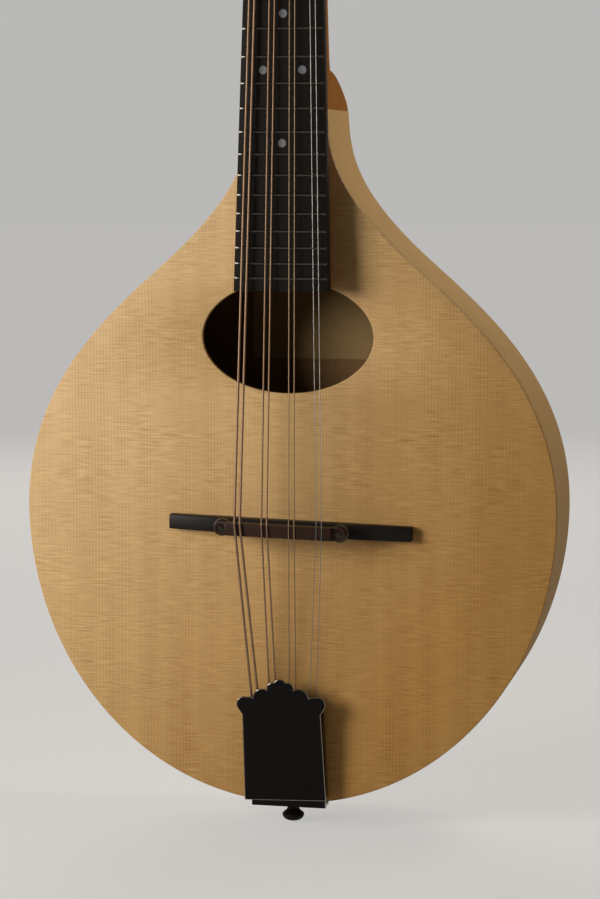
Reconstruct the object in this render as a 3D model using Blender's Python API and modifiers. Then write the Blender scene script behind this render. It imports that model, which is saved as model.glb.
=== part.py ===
"""A flat-top, A-style mandola with open-gear tuners, an adjustable bridge and a slide-on tailpiece cover.

Metres. +Z runs up the neck, the soundboard faces -Y and +X is the treble side. The origin is under the nut:
Z = 0 is the edge of the nut where the strings start to sound, Y = 0 is the front of the soundboard, and X = 0
is the centre line.
"""

import math

import bmesh
import bpy
from mathutils import Matrix, Vector

# Scale and fit
SCALE_LENGTH = 0.4318
GAP = 0.0003

# Body: heights are measured from the saddle line
BODY_HALF_WIDTH = 0.1349
WIDEST_AT = 0.0047
TAIL_BELOW_SADDLE = 0.1441
BODY_DEPTH = 0.0586
NECK_JOINT_ABOVE_SADDLE = 0.2038
JOINT_HALF_WIDTH = 0.0193
JOINT_FLARE = math.radians(3.5)
TURN_HALF_WIDTH = 0.0628
TURN_ABOVE_SADDLE = 0.1280
TURN_ANGLE = math.radians(48.4)
BOUT_PULLS = (0.0620, 0.0395)
SHOULDER_PULLS = (0.0560, 0.0200)
TOP_THICKNESS = 0.0030
BACK_THICKNESS = 0.0028
RIB_THICKNESS = 0.0023

# Soundhole
HOLE_HALF_WIDTH = 0.0433
HOLE_HALF_HEIGHT = 0.0280
HOLE_ABOVE_SADDLE = 0.0917

# Inside the body
LINING_WIDTH = 0.0055
LINING_HEIGHT = 0.0120
KERF_COUNT = 11
KERF_WIDTH = 0.0016
KERF_WEB = 0.0015
NECK_BLOCK_LENGTH = 0.0340
TAIL_BLOCK_LENGTH = 0.0180
TAIL_BLOCK_HALF_WIDTH = 0.0300
BRACE_WIDTH = 0.0070
BRACE_HEIGHT = 0.0110
BRACE_TIP_HEIGHT = 0.0035
BRACE_END_CLEARANCE = 0.0008
TOP_CROSS_BRACES = {"upper_cross_brace": 0.1290, "lower_cross_brace": 0.0540}
BACK_CROSS_BRACES = {"back_brace_upper": 0.1450, "back_brace_middle": 0.0480, "back_brace_lower": -0.0620}
TONE_BAR_TOP = (0.0160, 0.0450)
TONE_BAR_FOOT = (0.0520, -0.0950)
LABEL_SIZE = (0.0760, 0.0480)
LABEL_CENTRE = (0.0080, 0.1012)
LABEL_THICKNESS = 0.0004

# Fretboard
BOARD_THICKNESS = 0.0060
NUT_WIDTH = 0.0310
BOARD_END_WIDTH = 0.0476
BOARD_END_ABOVE_SADDLE = 0.1147
BOARD_RISE_AT_NUT = 0.0046
NECK_TILT = math.atan(0.0340)
FRET_COUNT = 22
FRET_WIDTH = 0.0016
FRET_HEIGHT = 0.0011

# Neck and heel
NECK_INSET = 0.0002
NECK_DEPTH_AT_NUT = 0.0210
NECK_DEPTH_AT_HEEL = 0.0240
HEEL_LENGTH = 0.0190
HEEL_ROUND = 1.4
SHAFT_SQUARENESS = 2.3
HEEL_SQUARENESS = 16.0
EXTENSION_INSET = 0.0016
TENON_WIDTH = 0.0140
TENON_LENGTH = 0.0200
TENON_DEPTH = 0.0420
TRUSS_CHANNEL_WIDTH = 0.0064
TRUSS_CHANNEL_DEPTH = 0.0090
TRUSS_ROD_RADIUS = 0.0025
TRUSS_ROD_FROM_BODY = 0.0030
TRUSS_ROD_PROUD = 0.0160

# Nut
NUT_LENGTH = 0.0044
NUT_ABOVE_BOARD = 0.0014

# Headstock: heights are measured up its own face from the nut end
HEAD_ANGLE = math.radians(13.0)
HEAD_START = 0.0052
HEAD_BELOW_BOARD = 0.0025
HEAD_LENGTH = 0.1180
HEAD_HALF_WIDTH = 0.0310
HEAD_FLARE = (0.0040, 0.0250)
HEAD_CORNER = 0.0100
HEAD_CREST = 0.0050
HEAD_THICKNESS = 0.0130
VENEER_THICKNESS = 0.0020
TRUSS_COVER_LENGTH = 0.0270
TRUSS_COVER_HALF_WIDTH = 0.0085
TRUSS_COVER_THICKNESS = 0.0018
TRUSS_POCKET_LENGTH = 0.0210
TRUSS_POCKET_WIDTH = 0.0090
TRUSS_POCKET_DEPTH = 0.0110

# Tuners
POST_SPACING = 0.0230
FIRST_POST = 0.0335
POST_FROM_CENTRE = 0.0195
POST_RADIUS = 0.0030
POST_ABOVE_FACE = 0.0088
BUSHING_RADIUS = 0.0050
BUSHING_HEIGHT = 0.0013
PLATE_THICKNESS = 0.0013
PLATE_WIDTH = 0.0170
PLATE_MARGIN = 0.0115
GEAR_TEETH = 14
GEAR_PITCH_RADIUS = 0.0047
GEAR_ADDENDUM = 0.0006
GEAR_DEDENDUM = 0.0008
GEAR_THICKNESS = 0.0030
TOOTH_SHARE = 0.40
WORM_PITCH_RADIUS = 0.0023
WORM_TURNS = 2.25
WORM_SHAFT_RADIUS = 0.0013
BEARING_THICKNESS = 0.0014
BEARING_HEIGHT = 0.0059
BUTTON_LENGTH = 0.0140
BUTTON_HALF_WIDTH = 0.0068
BUTTON_HALF_DEPTH = 0.0048
BUTTON_CLEAR = 0.0030
BUTTON_SHAPE = (
    (0.0, 0.30, 0.42),
    (0.16, 0.30, 0.42),
    (0.24, 0.70, 0.72),
    (0.46, 1.0, 1.0),
    (0.72, 0.98, 0.96),
    (0.94, 0.66, 0.64),
    (1.0, 0.30, 0.3),
)

# Bridge: its centre line lies below the saddle line and is turned a little, treble end lower
BRIDGE_BELOW_SADDLE = 0.0030
BRIDGE_TURN = math.radians(1.5)
BRIDGE_BASS_REACH = 0.0597
BRIDGE_TREBLE_REACH = 0.0637
BRIDGE_BASE_WIDTH = 0.0074
BRIDGE_BASE_HEIGHT = 0.0080
BRIDGE_END_HEIGHT = 0.0050
SADDLE_POST_SPACING = 0.0597
SADDLE_TOP = 0.0221
SADDLE_WIDTH = 0.0064
SADDLE_END_RADIUS = 0.0034
SADDLE_EAR_TOP = 0.0193
SADDLE_EAR_INSIDE_POST = 0.0036
SADDLE_CREST = 0.0029
SADDLE_SLOPE = math.atan(0.20)
BRIDGE_POST_RADIUS = 0.0017
POST_HOLE_CLEARANCE = 0.0003
WHEEL_RADIUS = 0.0044
WHEEL_THICKNESS = 0.0024
WHEEL_ABOVE_BASE = 0.0050
WHEEL_KNURLS = 16
POST_BELOW_EAR_TOP = 0.0003

# Tailpiece: distances are measured down from the saddle line. It leans a little, its foot to the treble side
TAILPIECE_TURN = math.radians(-1.8)
TAILPIECE_PIVOT = (-0.0001, 0.1096)
COVER_TIP = 0.0782
COVER_END = 0.1410
COVER_RISE_AT_TIP = 0.0130
COVER_RISE_AT_END = 0.0084
COVER_THICKNESS = 0.0008
COVER_HALF_WIDTH = (0.0201, 0.0209)
COVER_LOBES = (
    (0.0, 0.0033, 0.0033),
    (0.0037, 0.0050, 0.0033),
    (0.0092, 0.0100, 0.0051),
    (0.0165, 0.0145, 0.0054),
    (0.0188, 0.0130, 0.0040),
)
COVER_NECK = (0.0200, 0.0186)
BASE_START = 0.0905
BASE_HALF_WIDTH = 0.0189
BASE_THICKNESS = 0.0012
FLANGE_REACH = 0.0380
FLANGE_TIP_HALF_WIDTH = 0.0090
LIP_LENGTH = 0.0024
LIP_HEIGHT = 0.0073
HOOKS_AT = 0.1260
HOOK_RADIUS = 0.0008
HOOK_HEIGHT = 0.0066

# End pin
PIN_FROM_FRONT = 0.0150
PIN_SHANK_RADIUS = 0.0033
PIN_LENGTH_INSIDE = 0.0170
PIN_PROFILE = (
    (0.0, 0.0046),
    (0.0012, 0.0040),
    (0.0036, 0.0029),
    (0.0056, 0.0040),
    (0.0072, 0.0056),
    (0.0090, 0.0050),
    (0.0105, 0.0030),
)

# Strings, from the bass side: (diameter, distance from the centre at the saddle, at the nut)
PAIR_AT_SADDLE = 0.0027
PAIR_AT_NUT = 0.0026
COURSE_DIAMETERS = (0.00124, 0.00086, 0.00058, 0.00036)
COURSES_AT_SADDLE = (-0.0205, -0.0069, 0.0068, 0.0206)
COURSES_AT_NUT = (-0.0112, -0.0037, 0.0037, 0.0112)
COURSES_AT_TAIL = (-0.0144, -0.0054, 0.0045, 0.0148)
PAIR_AT_TAIL = 0.0034
WRAP_TURNS = 1.5
WRAP_STEPS = 8
WRAP_START = 0.0024
WRAP_GAP = 0.00045

SADDLE_Z = -SCALE_LENGTH
JOINT_Z = SADDLE_Z + NECK_JOINT_ABOVE_SADDLE
TAIL_Z = SADDLE_Z - TAIL_BELOW_SADDLE
BOARD_LENGTH = SCALE_LENGTH - BOARD_END_ABOVE_SADDLE
TRUSS_ROD_LENGTH = -JOINT_Z - TRUSS_ROD_FROM_BODY
FRONT_OF_BACK = BODY_DEPTH - BACK_THICKNESS
POST_SIDES = (-1, 1)

COLOURS = {
    "spruce": ((0.72, 0.52, 0.29), 0.42, 0.0),
    "maple": ((0.70, 0.52, 0.32), 0.38, 0.0),
    "mahogany": ((0.30, 0.10, 0.035), 0.40, 0.0),
    "block_wood": ((0.50, 0.33, 0.18), 0.60, 0.0),
    "ebony": ((0.012, 0.011, 0.010), 0.38, 0.0),
    "rosewood": ((0.045, 0.020, 0.012), 0.42, 0.0),
    "bone": ((0.80, 0.76, 0.64), 0.35, 0.0),
    "paper": ((0.62, 0.52, 0.36), 0.80, 0.0),
    "steel": ((0.55, 0.55, 0.54), 0.25, 1.0),
    "nickel": ((0.62, 0.60, 0.56), 0.20, 1.0),
    "black_nickel": ((0.07, 0.07, 0.07), 0.10, 1.0),
    "bronze": ((0.62, 0.36, 0.20), 0.32, 1.0),
    "button": ((0.78, 0.72, 0.58), 0.25, 0.0),
}


def clear_scene():
    for obj in list(bpy.data.objects):
        bpy.data.objects.remove(obj, do_unlink=True)


def new_collection(name):
    made = bpy.data.collections.new(name)
    bpy.context.scene.collection.children.link(made)
    return made


def material(name):
    found = bpy.data.materials.get(name)
    if found:
        return found
    colour, roughness, metallic = COLOURS[name]
    made = bpy.data.materials.new(name)
    made.use_nodes = True
    shader = made.node_tree.nodes["Principled BSDF"]
    shader.inputs["Base Color"].default_value = (*colour, 1.0)
    shader.inputs["Roughness"].default_value = roughness
    shader.inputs["Metallic"].default_value = metallic
    made.diffuse_color = (*colour, 1.0)
    return made


clear_scene()
PARTS = new_collection("mandola")
CUTTERS = new_collection("cutters")


def frame(name, matrix, parent=None):
    """An empty that carries pieces drawn in its own axes."""
    empty = bpy.data.objects.new(name, None)
    empty.empty_display_size = 0.02
    PARTS.objects.link(empty)
    empty.parent = parent
    empty.matrix_local = matrix
    return empty


def place(obj, finish, parent=None, matrix=None):
    """Puts a finished piece in the parts, with its material."""
    PARTS.objects.link(obj)
    obj.parent = parent
    obj.matrix_local = matrix or Matrix()
    obj.data.materials.clear()
    obj.data.materials.append(material(finish))
    if obj.type == "MESH":
        obj.data.shade_smooth()
        obj.data.set_sharp_from_angle(angle=math.radians(32))
    return obj


def helper(obj, parent=None, matrix=None):
    """Puts a cutter, or a shape that is joined to another, where the build leaves it out."""
    CUTTERS.objects.link(obj)
    obj.parent = parent
    obj.matrix_local = matrix or Matrix()
    obj.hide_render = True
    obj.display_type = "WIRE"
    return obj


def boolean(obj, other, operation):
    step = obj.modifiers.new(other.name, "BOOLEAN")
    step.operation = operation
    step.solver = "EXACT"
    step.object = other


def cut(obj, other):
    boolean(obj, other, "DIFFERENCE")


def join(obj, other):
    boolean(obj, other, "UNION")


def mesh_object(name, bm):
    bmesh.ops.recalc_face_normals(bm, faces=bm.faces)
    mesh = bpy.data.meshes.new(name)
    bm.to_mesh(mesh)
    bm.free()
    return bpy.data.objects.new(name, mesh)


def box(name, low, high):
    """A box between two corners."""
    bm = bmesh.new()
    size = [b - a for a, b in zip(low, high)]
    centre = [(a + b) / 2 for a, b in zip(low, high)]
    bmesh.ops.create_cube(bm, size=1.0, matrix=Matrix.Translation(centre) @ Matrix.Diagonal((*size, 1.0)))
    return mesh_object(name, bm)


def rod(name, start, end, radius, sides=12, end_radius=None):
    """A cylinder, or a cone, from one point to another."""
    start, end = Vector(start), Vector(end)
    turn = (end - start).to_track_quat("Z", "Y").to_matrix().to_4x4()
    bm = bmesh.new()
    bmesh.ops.create_cone(
        bm,
        cap_ends=True,
        segments=sides,
        radius1=radius,
        radius2=radius if end_radius is None else end_radius,
        depth=(end - start).length,
        matrix=Matrix.Translation((start + end) / 2) @ turn,
    )
    return mesh_object(name, bm)


def loft(name, rings):
    """A skin over rings of as many points each, closed at both ends."""
    bm = bmesh.new()
    rows = [[bm.verts.new(point) for point in ring] for ring in rings]
    for row, after in zip(rows, rows[1:]):
        for i in range(len(row)):
            j = (i + 1) % len(row)
            bm.faces.new((row[i], row[j], after[j], after[i]))
    bm.faces.new(rows[0])
    bm.faces.new(rows[-1])
    return mesh_object(name, bm)


def plate(name, loops, y_front, thickness):
    """A flat piece that faces -Y. Each loop is a list of (x, z): the first is its outline, the rest are holes."""
    curve = bpy.data.curves.new(name, "CURVE")
    curve.dimensions = "2D"
    curve.fill_mode = "BOTH"
    curve.extrude = thickness / 2
    for loop in loops:
        spline = curve.splines.new("POLY")
        spline.points.add(len(loop) - 1)
        for point, (x, z) in zip(spline.points, loop):
            point.co = (x, z, 0.0, 1.0)
        spline.use_cyclic_u = True
    drawn = bpy.data.objects.new(name + "_outline", curve)
    bpy.context.scene.collection.objects.link(drawn)
    graph = bpy.context.evaluated_depsgraph_get()
    mesh = bpy.data.meshes.new_from_object(drawn.evaluated_get(graph))
    bpy.data.objects.remove(drawn)
    bm = bmesh.new()
    bm.from_mesh(mesh)
    bpy.data.meshes.remove(mesh)
    upright = Matrix.Translation((0.0, y_front + thickness / 2, 0.0)) @ Matrix.Rotation(math.pi / 2, 4, "X")
    bmesh.ops.transform(bm, matrix=upright, verts=bm.verts)
    bmesh.ops.remove_doubles(bm, verts=bm.verts, dist=1e-6)
    return mesh_object(name, bm)


def slab(name, loop, y_front, thickness):
    """A flat piece that faces -Y, without holes."""
    return loft(name, [[(x, y, z) for x, z in loop] for y in (y_front, y_front + thickness)])


def tube(name, points, radius, resolution=1):
    """A round wire along a list of points."""
    curve = bpy.data.curves.new(name, "CURVE")
    curve.dimensions = "3D"
    curve.bevel_depth = radius
    curve.bevel_resolution = resolution
    curve.use_fill_caps = True
    spline = curve.splines.new("POLY")
    spline.points.add(len(points) - 1)
    for point, place_at in zip(spline.points, points):
        point.co = (*place_at, 1.0)
    return bpy.data.objects.new(name, curve)


def settled(obj):
    """The mesh of an object after its modifiers, for pieces that share it. The object itself is removed."""
    bpy.context.view_layer.update()
    graph = bpy.context.evaluated_depsgraph_get()
    mesh = bpy.data.meshes.new_from_object(obj.evaluated_get(graph))
    bpy.data.objects.remove(obj)
    return mesh


def arc(centre, radius, start, end, steps):
    """Points on a circle in the plane of the soundboard, both ends included."""
    angles = [start + (end - start) * i / steps for i in range(steps + 1)]
    return [(centre[0] + radius * math.cos(a), centre[1] + radius * math.sin(a)) for a in angles]


def circle(centre, radius, steps):
    return arc(centre, radius, 0.0, 2 * math.pi * (1 - 1 / steps), steps - 1)


def bezier(points, steps):
    """Points on a cubic curve, without its first end."""
    a, b, c, d = (Vector(p) for p in points)
    made = []
    for i in range(1, steps + 1):
        t = i / steps
        made.append((1 - t) ** 3 * a + 3 * (1 - t) ** 2 * t * b + 3 * (1 - t) * t * t * c + t**3 * d)
    return made


# The body's outline

def half_outline():
    """The treble half of the body's outline, from the tail to the neck joint, as (x, z)."""
    drop = TAIL_BELOW_SADDLE + WIDEST_AT
    widest = (BODY_HALF_WIDTH, SADDLE_Z + WIDEST_AT)
    turn = Vector((TURN_HALF_WIDTH, SADDLE_Z + TURN_ABOVE_SADDLE))
    along = Vector((-math.sin(TURN_ANGLE), math.cos(TURN_ANGLE)))
    joint = (JOINT_HALF_WIDTH, JOINT_Z)
    steps = 17
    lower = []
    for i in range(steps + 1):
        angle = math.pi / 2 * i / steps
        lower.append(Vector((BODY_HALF_WIDTH * math.sin(angle), widest[1] - drop * math.cos(angle))))
    bout = bezier((widest, (widest[0], widest[1] + BOUT_PULLS[0]), turn - BOUT_PULLS[1] * along, turn), 10)
    below_joint = Vector((math.sin(JOINT_FLARE), -math.cos(JOINT_FLARE))) * SHOULDER_PULLS[1]
    shoulder = bezier((turn, turn + SHOULDER_PULLS[0] * along, Vector(joint) + below_joint, joint), 10)
    return lower + bout + shoulder


def inset_half(inset):
    """The treble half of the outline, moved inwards by a wall's thickness."""
    points = half_outline()
    moved = []
    for i, point in enumerate(points):
        before = points[max(i - 1, 0)]
        after = points[min(i + 1, len(points) - 1)]
        along = (after - before).normalized()
        if i == 0:
            along = Vector((1.0, 0.0))
        inward = Vector((-along.y, along.x))
        moved.append(point + inset * inward)
    return moved


def mirrored(half):
    """A closed loop from its treble half, whose first point may lie on the centre line."""
    bass = [(-x, z) for x, z in reversed(half) if x > 1e-6]
    return [(x, z) for x, z in half] + bass


def width_at(z, inset):
    """Half the body's width at a height, inside a wall of this thickness."""
    half = inset_half(inset)
    for a, b in zip(half, half[1:]):
        if a.y <= z <= b.y:
            return a.x + (b.x - a.x) * (z - a.y) / (b.y - a.y)
    return half[-1].x


def floor_at(x, inset):
    """The lowest height inside the body at a distance from the centre line."""
    half = inset_half(inset)
    for a, b in zip(half, half[1:]):
        if a.x <= x <= b.x:
            return a.y + (b.y - a.y) * (x - a.x) / (b.x - a.x)
    return half[0].y


def make_soundboard():
    outline = mirrored(half_outline())
    centre = SADDLE_Z + HOLE_ABOVE_SADDLE
    steps = 48
    hole = []
    for i in range(steps):
        angle = 2 * math.pi * i / steps
        hole.append((HOLE_HALF_WIDTH * math.cos(angle), centre + HOLE_HALF_HEIGHT * math.sin(angle)))
    place(plate("soundboard", [outline, hole], 0.0, TOP_THICKNESS), "spruce")


def make_back():
    place(plate("back_plate", [mirrored(half_outline())], FRONT_OF_BACK, BACK_THICKNESS), "maple")


def strip(outer, inner):
    return [tuple(p) for p in outer] + [tuple(p) for p in reversed(inner)]


def side_of(loop, side):
    return [(side * x, z) for x, z in loop]


def make_ribs(pin_hole):
    outer = [Vector((max(p.x, GAP / 2), p.y)) for p in half_outline()]
    inner = [Vector((max(p.x, GAP / 2), p.y)) for p in inset_half(RIB_THICKNESS)]
    height = FRONT_OF_BACK - GAP - TOP_THICKNESS - GAP
    for side, name in ((-1, "rib_bass"), (1, "rib_treble")):
        rib = place(plate(name, [side_of(strip(outer, inner), side)], TOP_THICKNESS + GAP, height), "maple")
        cut(rib, pin_hole)


def lining_loop():
    """A kerfed strip that follows the rib from the tail block to the neck block."""
    outside = RIB_THICKNESS + GAP
    top = JOINT_Z - NECK_BLOCK_LENGTH - 2 * GAP
    start = TAIL_BLOCK_HALF_WIDTH + 2 * GAP
    walls = [inset_half(outside), inset_half(outside + KERF_WEB), inset_half(outside + LINING_WIDTH)]
    kept = [i for i, p in enumerate(walls[2]) if p.x > start and walls[0][i].y < top and walls[2][i].y < top]
    outer = [walls[0][i] for i in kept]
    web = [walls[1][i] for i in kept]
    face = [walls[2][i] for i in kept]
    lengths = [0.0]
    for a, b in zip(face, face[1:]):
        lengths.append(lengths[-1] + (b - a).length)

    def at(line, distance):
        for i in range(len(lengths) - 1):
            if distance <= lengths[i + 1]:
                share = (distance - lengths[i]) / (lengths[i + 1] - lengths[i])
                return line[i].lerp(line[i + 1], share)
        return line[-1]

    comb = [face[0]]
    pitch = lengths[-1] / (KERF_COUNT + 1)
    for k in range(1, KERF_COUNT + 1):
        for line, offset in ((face, -1), (web, -1), (web, 1), (face, 1)):
            comb.append(at(line, k * pitch + offset * KERF_WIDTH / 2))
    comb.append(face[-1])
    return strip(outer, comb)


def make_linings():
    loop = lining_loop()
    levels = {"lining_top": TOP_THICKNESS + GAP, "lining_back": FRONT_OF_BACK - GAP - LINING_HEIGHT}
    for level, y_front in levels.items():
        for side, word in ((-1, "bass"), (1, "treble")):
            place(plate(f"{level}_{word}", [side_of(loop, side)], y_front, LINING_HEIGHT), "block_wood")


def make_blocks(tenon_hole, pin_hole):
    inset = RIB_THICKNESS + GAP
    height = FRONT_OF_BACK - GAP - TOP_THICKNESS - GAP
    low = JOINT_Z - NECK_BLOCK_LENGTH
    sides = [p for p in inset_half(inset) if p.y > low]
    neck_half = [(width_at(low, inset), low)] + [tuple(p) for p in sides]
    neck_block = place(plate("neck_block", [mirrored(neck_half)], TOP_THICKNESS + GAP, height), "block_wood")
    cut(neck_block, tenon_hole)
    foot = [p for p in inset_half(inset) if p.x < TAIL_BLOCK_HALF_WIDTH and p.y < SADDLE_Z]
    high = TAIL_Z + inset + TAIL_BLOCK_LENGTH
    corner = (TAIL_BLOCK_HALF_WIDTH, floor_at(TAIL_BLOCK_HALF_WIDTH, inset))
    tail_half = [tuple(p) for p in foot] + [corner, (TAIL_BLOCK_HALF_WIDTH, high)]
    tail_block = place(plate("tail_block", [mirrored(tail_half)], TOP_THICKNESS + GAP, height), "block_wood")
    cut(tail_block, pin_hole)


def brace(name, start, end, y_plate, direction):
    """A brace between two points of a plate, as (x, z), full in the middle and low at its ends."""
    a, b = Vector(start), Vector(end)
    across = (b - a).normalized().orthogonal() * BRACE_WIDTH / 2
    rings = []
    for share, height in ((0.0, 0.3), (0.16, 0.75), (0.34, 1.0), (0.66, 1.0), (0.84, 0.75), (1.0, 0.3)):
        middle = a.lerp(b, share)
        reach = max(height * BRACE_HEIGHT, BRACE_TIP_HEIGHT)
        left, right = middle + across, middle - across
        crown = 0.55
        rings.append(
            [
                (left.x, y_plate, left.y),
                (right.x, y_plate, right.y),
                (right.x, y_plate + direction * reach * crown, right.y),
                (middle.x, y_plate + direction * reach, middle.y),
                (left.x, y_plate + direction * reach * crown, left.y),
            ]
        )
    place(loft(name, rings), "block_wood")


def make_braces():
    inset = RIB_THICKNESS + GAP + LINING_WIDTH + GAP
    front = TOP_THICKNESS + GAP
    back = FRONT_OF_BACK - GAP
    for name, above in TOP_CROSS_BRACES.items():
        z = SADDLE_Z + above
        reach = width_at(z + BRACE_WIDTH / 2, inset) - BRACE_END_CLEARANCE
        brace(name, (-reach, z), (reach, z), front, 1)
    for name, above in BACK_CROSS_BRACES.items():
        z = SADDLE_Z + above
        edge = z + BRACE_WIDTH / 2 if above > 0 else z - BRACE_WIDTH / 2
        reach = width_at(edge, inset) - BRACE_END_CLEARANCE
        brace(name, (-reach, z), (reach, z), back, -1)
    for side, word in ((-1, "bass"), (1, "treble")):
        top = (side * TONE_BAR_TOP[0], SADDLE_Z + TONE_BAR_TOP[1])
        foot = (side * TONE_BAR_FOOT[0], SADDLE_Z + TONE_BAR_FOOT[1])
        brace(f"tone_bar_{word}", top, foot, front, 1)


def make_label():
    x, above = LABEL_CENTRE
    z = SADDLE_Z + above
    y_back = FRONT_OF_BACK - GAP
    low = (x - LABEL_SIZE[0] / 2, y_back - LABEL_THICKNESS, z - LABEL_SIZE[1] / 2)
    high = (x + LABEL_SIZE[0] / 2, y_back, z + LABEL_SIZE[1] / 2)
    place(box("label", low, high), "paper")


# The neck, drawn level with the body, and the fretboard, drawn in the tilted neck frame

def board_front(z):
    """Where the fretboard's playing face is, at a height on the neck."""
    return -BOARD_RISE_AT_NUT + math.tan(NECK_TILT) * z


def board_half_width(z):
    return NUT_WIDTH / 2 - (BOARD_END_WIDTH - NUT_WIDTH) / 2 * z / BOARD_LENGTH


def neck_section(z, half_width, y_front, y_back, squareness):
    """A section with a flat front and a back that is round on the shaft and nearly square at the heel."""
    steps = 16
    ring = []
    for i in range(steps + 1):
        angle = math.pi * i / steps
        c, s = math.cos(angle), math.sin(angle)
        x = math.copysign(abs(c) ** (2 / squareness), c) * half_width
        y = y_front + (y_back - y_front) * max(s, 0.0) ** (2 / squareness)
        ring.append((x, y, z))
    return ring


def neck_rings():
    under_board = BOARD_THICKNESS + GAP
    rings = []
    tip = HEAD_START + 0.0090
    seat = board_front(0) + under_board
    for z, y_front, depth in ((tip, seat + 0.0023, 0.0160), (tip / 2, seat, 0.0200)):
        rings.append(neck_section(z, NUT_WIDTH / 2, y_front, board_front(0) + depth, SHAFT_SQUARENESS))
    heel_top = JOINT_Z + HEEL_LENGTH
    curve_start = heel_top + 0.0060
    for share in (0.0, 0.5, 1.0):
        z = curve_start * share
        depth = NECK_DEPTH_AT_NUT + (NECK_DEPTH_AT_HEEL - NECK_DEPTH_AT_NUT) * share
        half_width = board_half_width(z) - NECK_INSET
        rings.append(neck_section(z, half_width, board_front(z) + under_board, board_front(z) + depth, SHAFT_SQUARENESS))
    shaft_back = board_front(curve_start) + NECK_DEPTH_AT_HEEL
    steps = 9
    for i in range(steps + 1):
        angle = math.pi / 2 * i / steps
        along = 1 - math.cos(angle) ** (2 / HEEL_ROUND)
        z = heel_top - HEEL_LENGTH * along
        fillet = 0.0025 if i == 0 else 0.0040
        y_back = shaft_back + fillet + (BODY_DEPTH - shaft_back - fillet) * math.sin(angle) ** (2 / HEEL_ROUND)
        squareness = SHAFT_SQUARENESS + (HEEL_SQUARENESS - SHAFT_SQUARENESS) * math.sin(angle) ** 1.6
        shaft_width = board_half_width(z) - NECK_INSET
        half_width = shaft_width + (JOINT_HALF_WIDTH - shaft_width) * along**0.6
        rings.append(neck_section(z, half_width, board_front(z) + under_board, y_back, squareness))
    return rings


def extension_rings():
    """The wedge that carries the fretboard over the soundboard. It starts inside the heel."""
    rings = []
    end = -BOARD_LENGTH + EXTENSION_INSET
    inside = JOINT_HALF_WIDTH - NECK_INSET
    for z, half in ((JOINT_Z + 0.0020, inside), (end, board_half_width(end) - EXTENSION_INSET)):
        top = board_front(z) + BOARD_THICKNESS + GAP
        rings.append([(-half, top, z), (half, top, z), (half, -GAP, z), (-half, -GAP, z)])
    return rings


def head_half():
    """The treble half of the headstock's outline, in its own frame, from the nut up."""
    low, high = HEAD_FLARE
    half = [(NUT_WIDTH / 2, 0.0)]
    steps = 8
    for i in range(steps + 1):
        t = i / steps
        ease = t * t * (3 - 2 * t)
        half.append((NUT_WIDTH / 2 + (HEAD_HALF_WIDTH - NUT_WIDTH / 2) * ease, low + (high - low) * t))
    shoulder = HEAD_LENGTH - HEAD_CREST - HEAD_CORNER
    half += arc((HEAD_HALF_WIDTH - HEAD_CORNER, shoulder), HEAD_CORNER, 0.0, math.radians(70), 4)
    last_x, last_z = half[-1]
    for i in range(1, 6):
        t = i / 5
        ease = t * t * (3 - 2 * t)
        half.append((last_x * (1 - t), last_z + (HEAD_LENGTH - last_z) * ease))
    return half


def post_places():
    """(number, side, height on the headstock) of each post, in the order of the strings."""
    found = []
    for i in range(4):
        found.append((i + 1, -1, FIRST_POST + POST_SPACING * i))
    for i in range(4):
        found.append((i + 5, 1, FIRST_POST + POST_SPACING * (3 - i)))
    return found


def make_neck(neck_frame, head_frame, tenon):
    neck = place(loft("neck", neck_rings()), "mahogany")
    join(neck, helper(loft("fretboard_extension", extension_rings())))
    head = slab("headstock", mirrored(head_half()), VENEER_THICKNESS + GAP, HEAD_THICKNESS)
    join(neck, helper(head, head_frame))
    join(neck, tenon)
    under_board = BOARD_THICKNESS + GAP
    half = TRUSS_CHANNEL_WIDTH / 2
    low = (-half, under_board - 0.0010, -TRUSS_ROD_LENGTH)
    high = (half, under_board + TRUSS_CHANNEL_DEPTH, HEAD_START + TRUSS_POCKET_LENGTH / 2)
    cut(neck, helper(box("truss_channel", low, high), neck_frame))
    cut(neck, helper(truss_pocket("truss_pocket"), head_frame))
    for number, side, height in post_places():
        hole = rod(
            f"post_hole_{number}",
            (side * POST_FROM_CENTRE, 0.0, height),
            (side * POST_FROM_CENTRE, 2 * HEAD_THICKNESS, height),
            POST_RADIUS + 0.0010,
            8,
        )
        cut(neck, helper(hole, head_frame))


def truss_pocket(name):
    half = TRUSS_POCKET_WIDTH / 2
    return box(name, (-half, -0.0100, -0.0100), (half, TRUSS_POCKET_DEPTH, TRUSS_POCKET_LENGTH))


def make_truss_rod(neck_frame):
    y = BOARD_THICKNESS + GAP + TRUSS_CHANNEL_DEPTH / 2
    start = (0.0, y, -TRUSS_ROD_LENGTH + GAP)
    end = (0.0, y, TRUSS_ROD_PROUD)
    place(rod("truss_rod", start, end, TRUSS_ROD_RADIUS, 8), "steel", neck_frame)


def fret_height(number):
    """Where a fret crosses the fretboard, below the nut."""
    return -SCALE_LENGTH * (1 - 2 ** (-number / 12))


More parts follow.
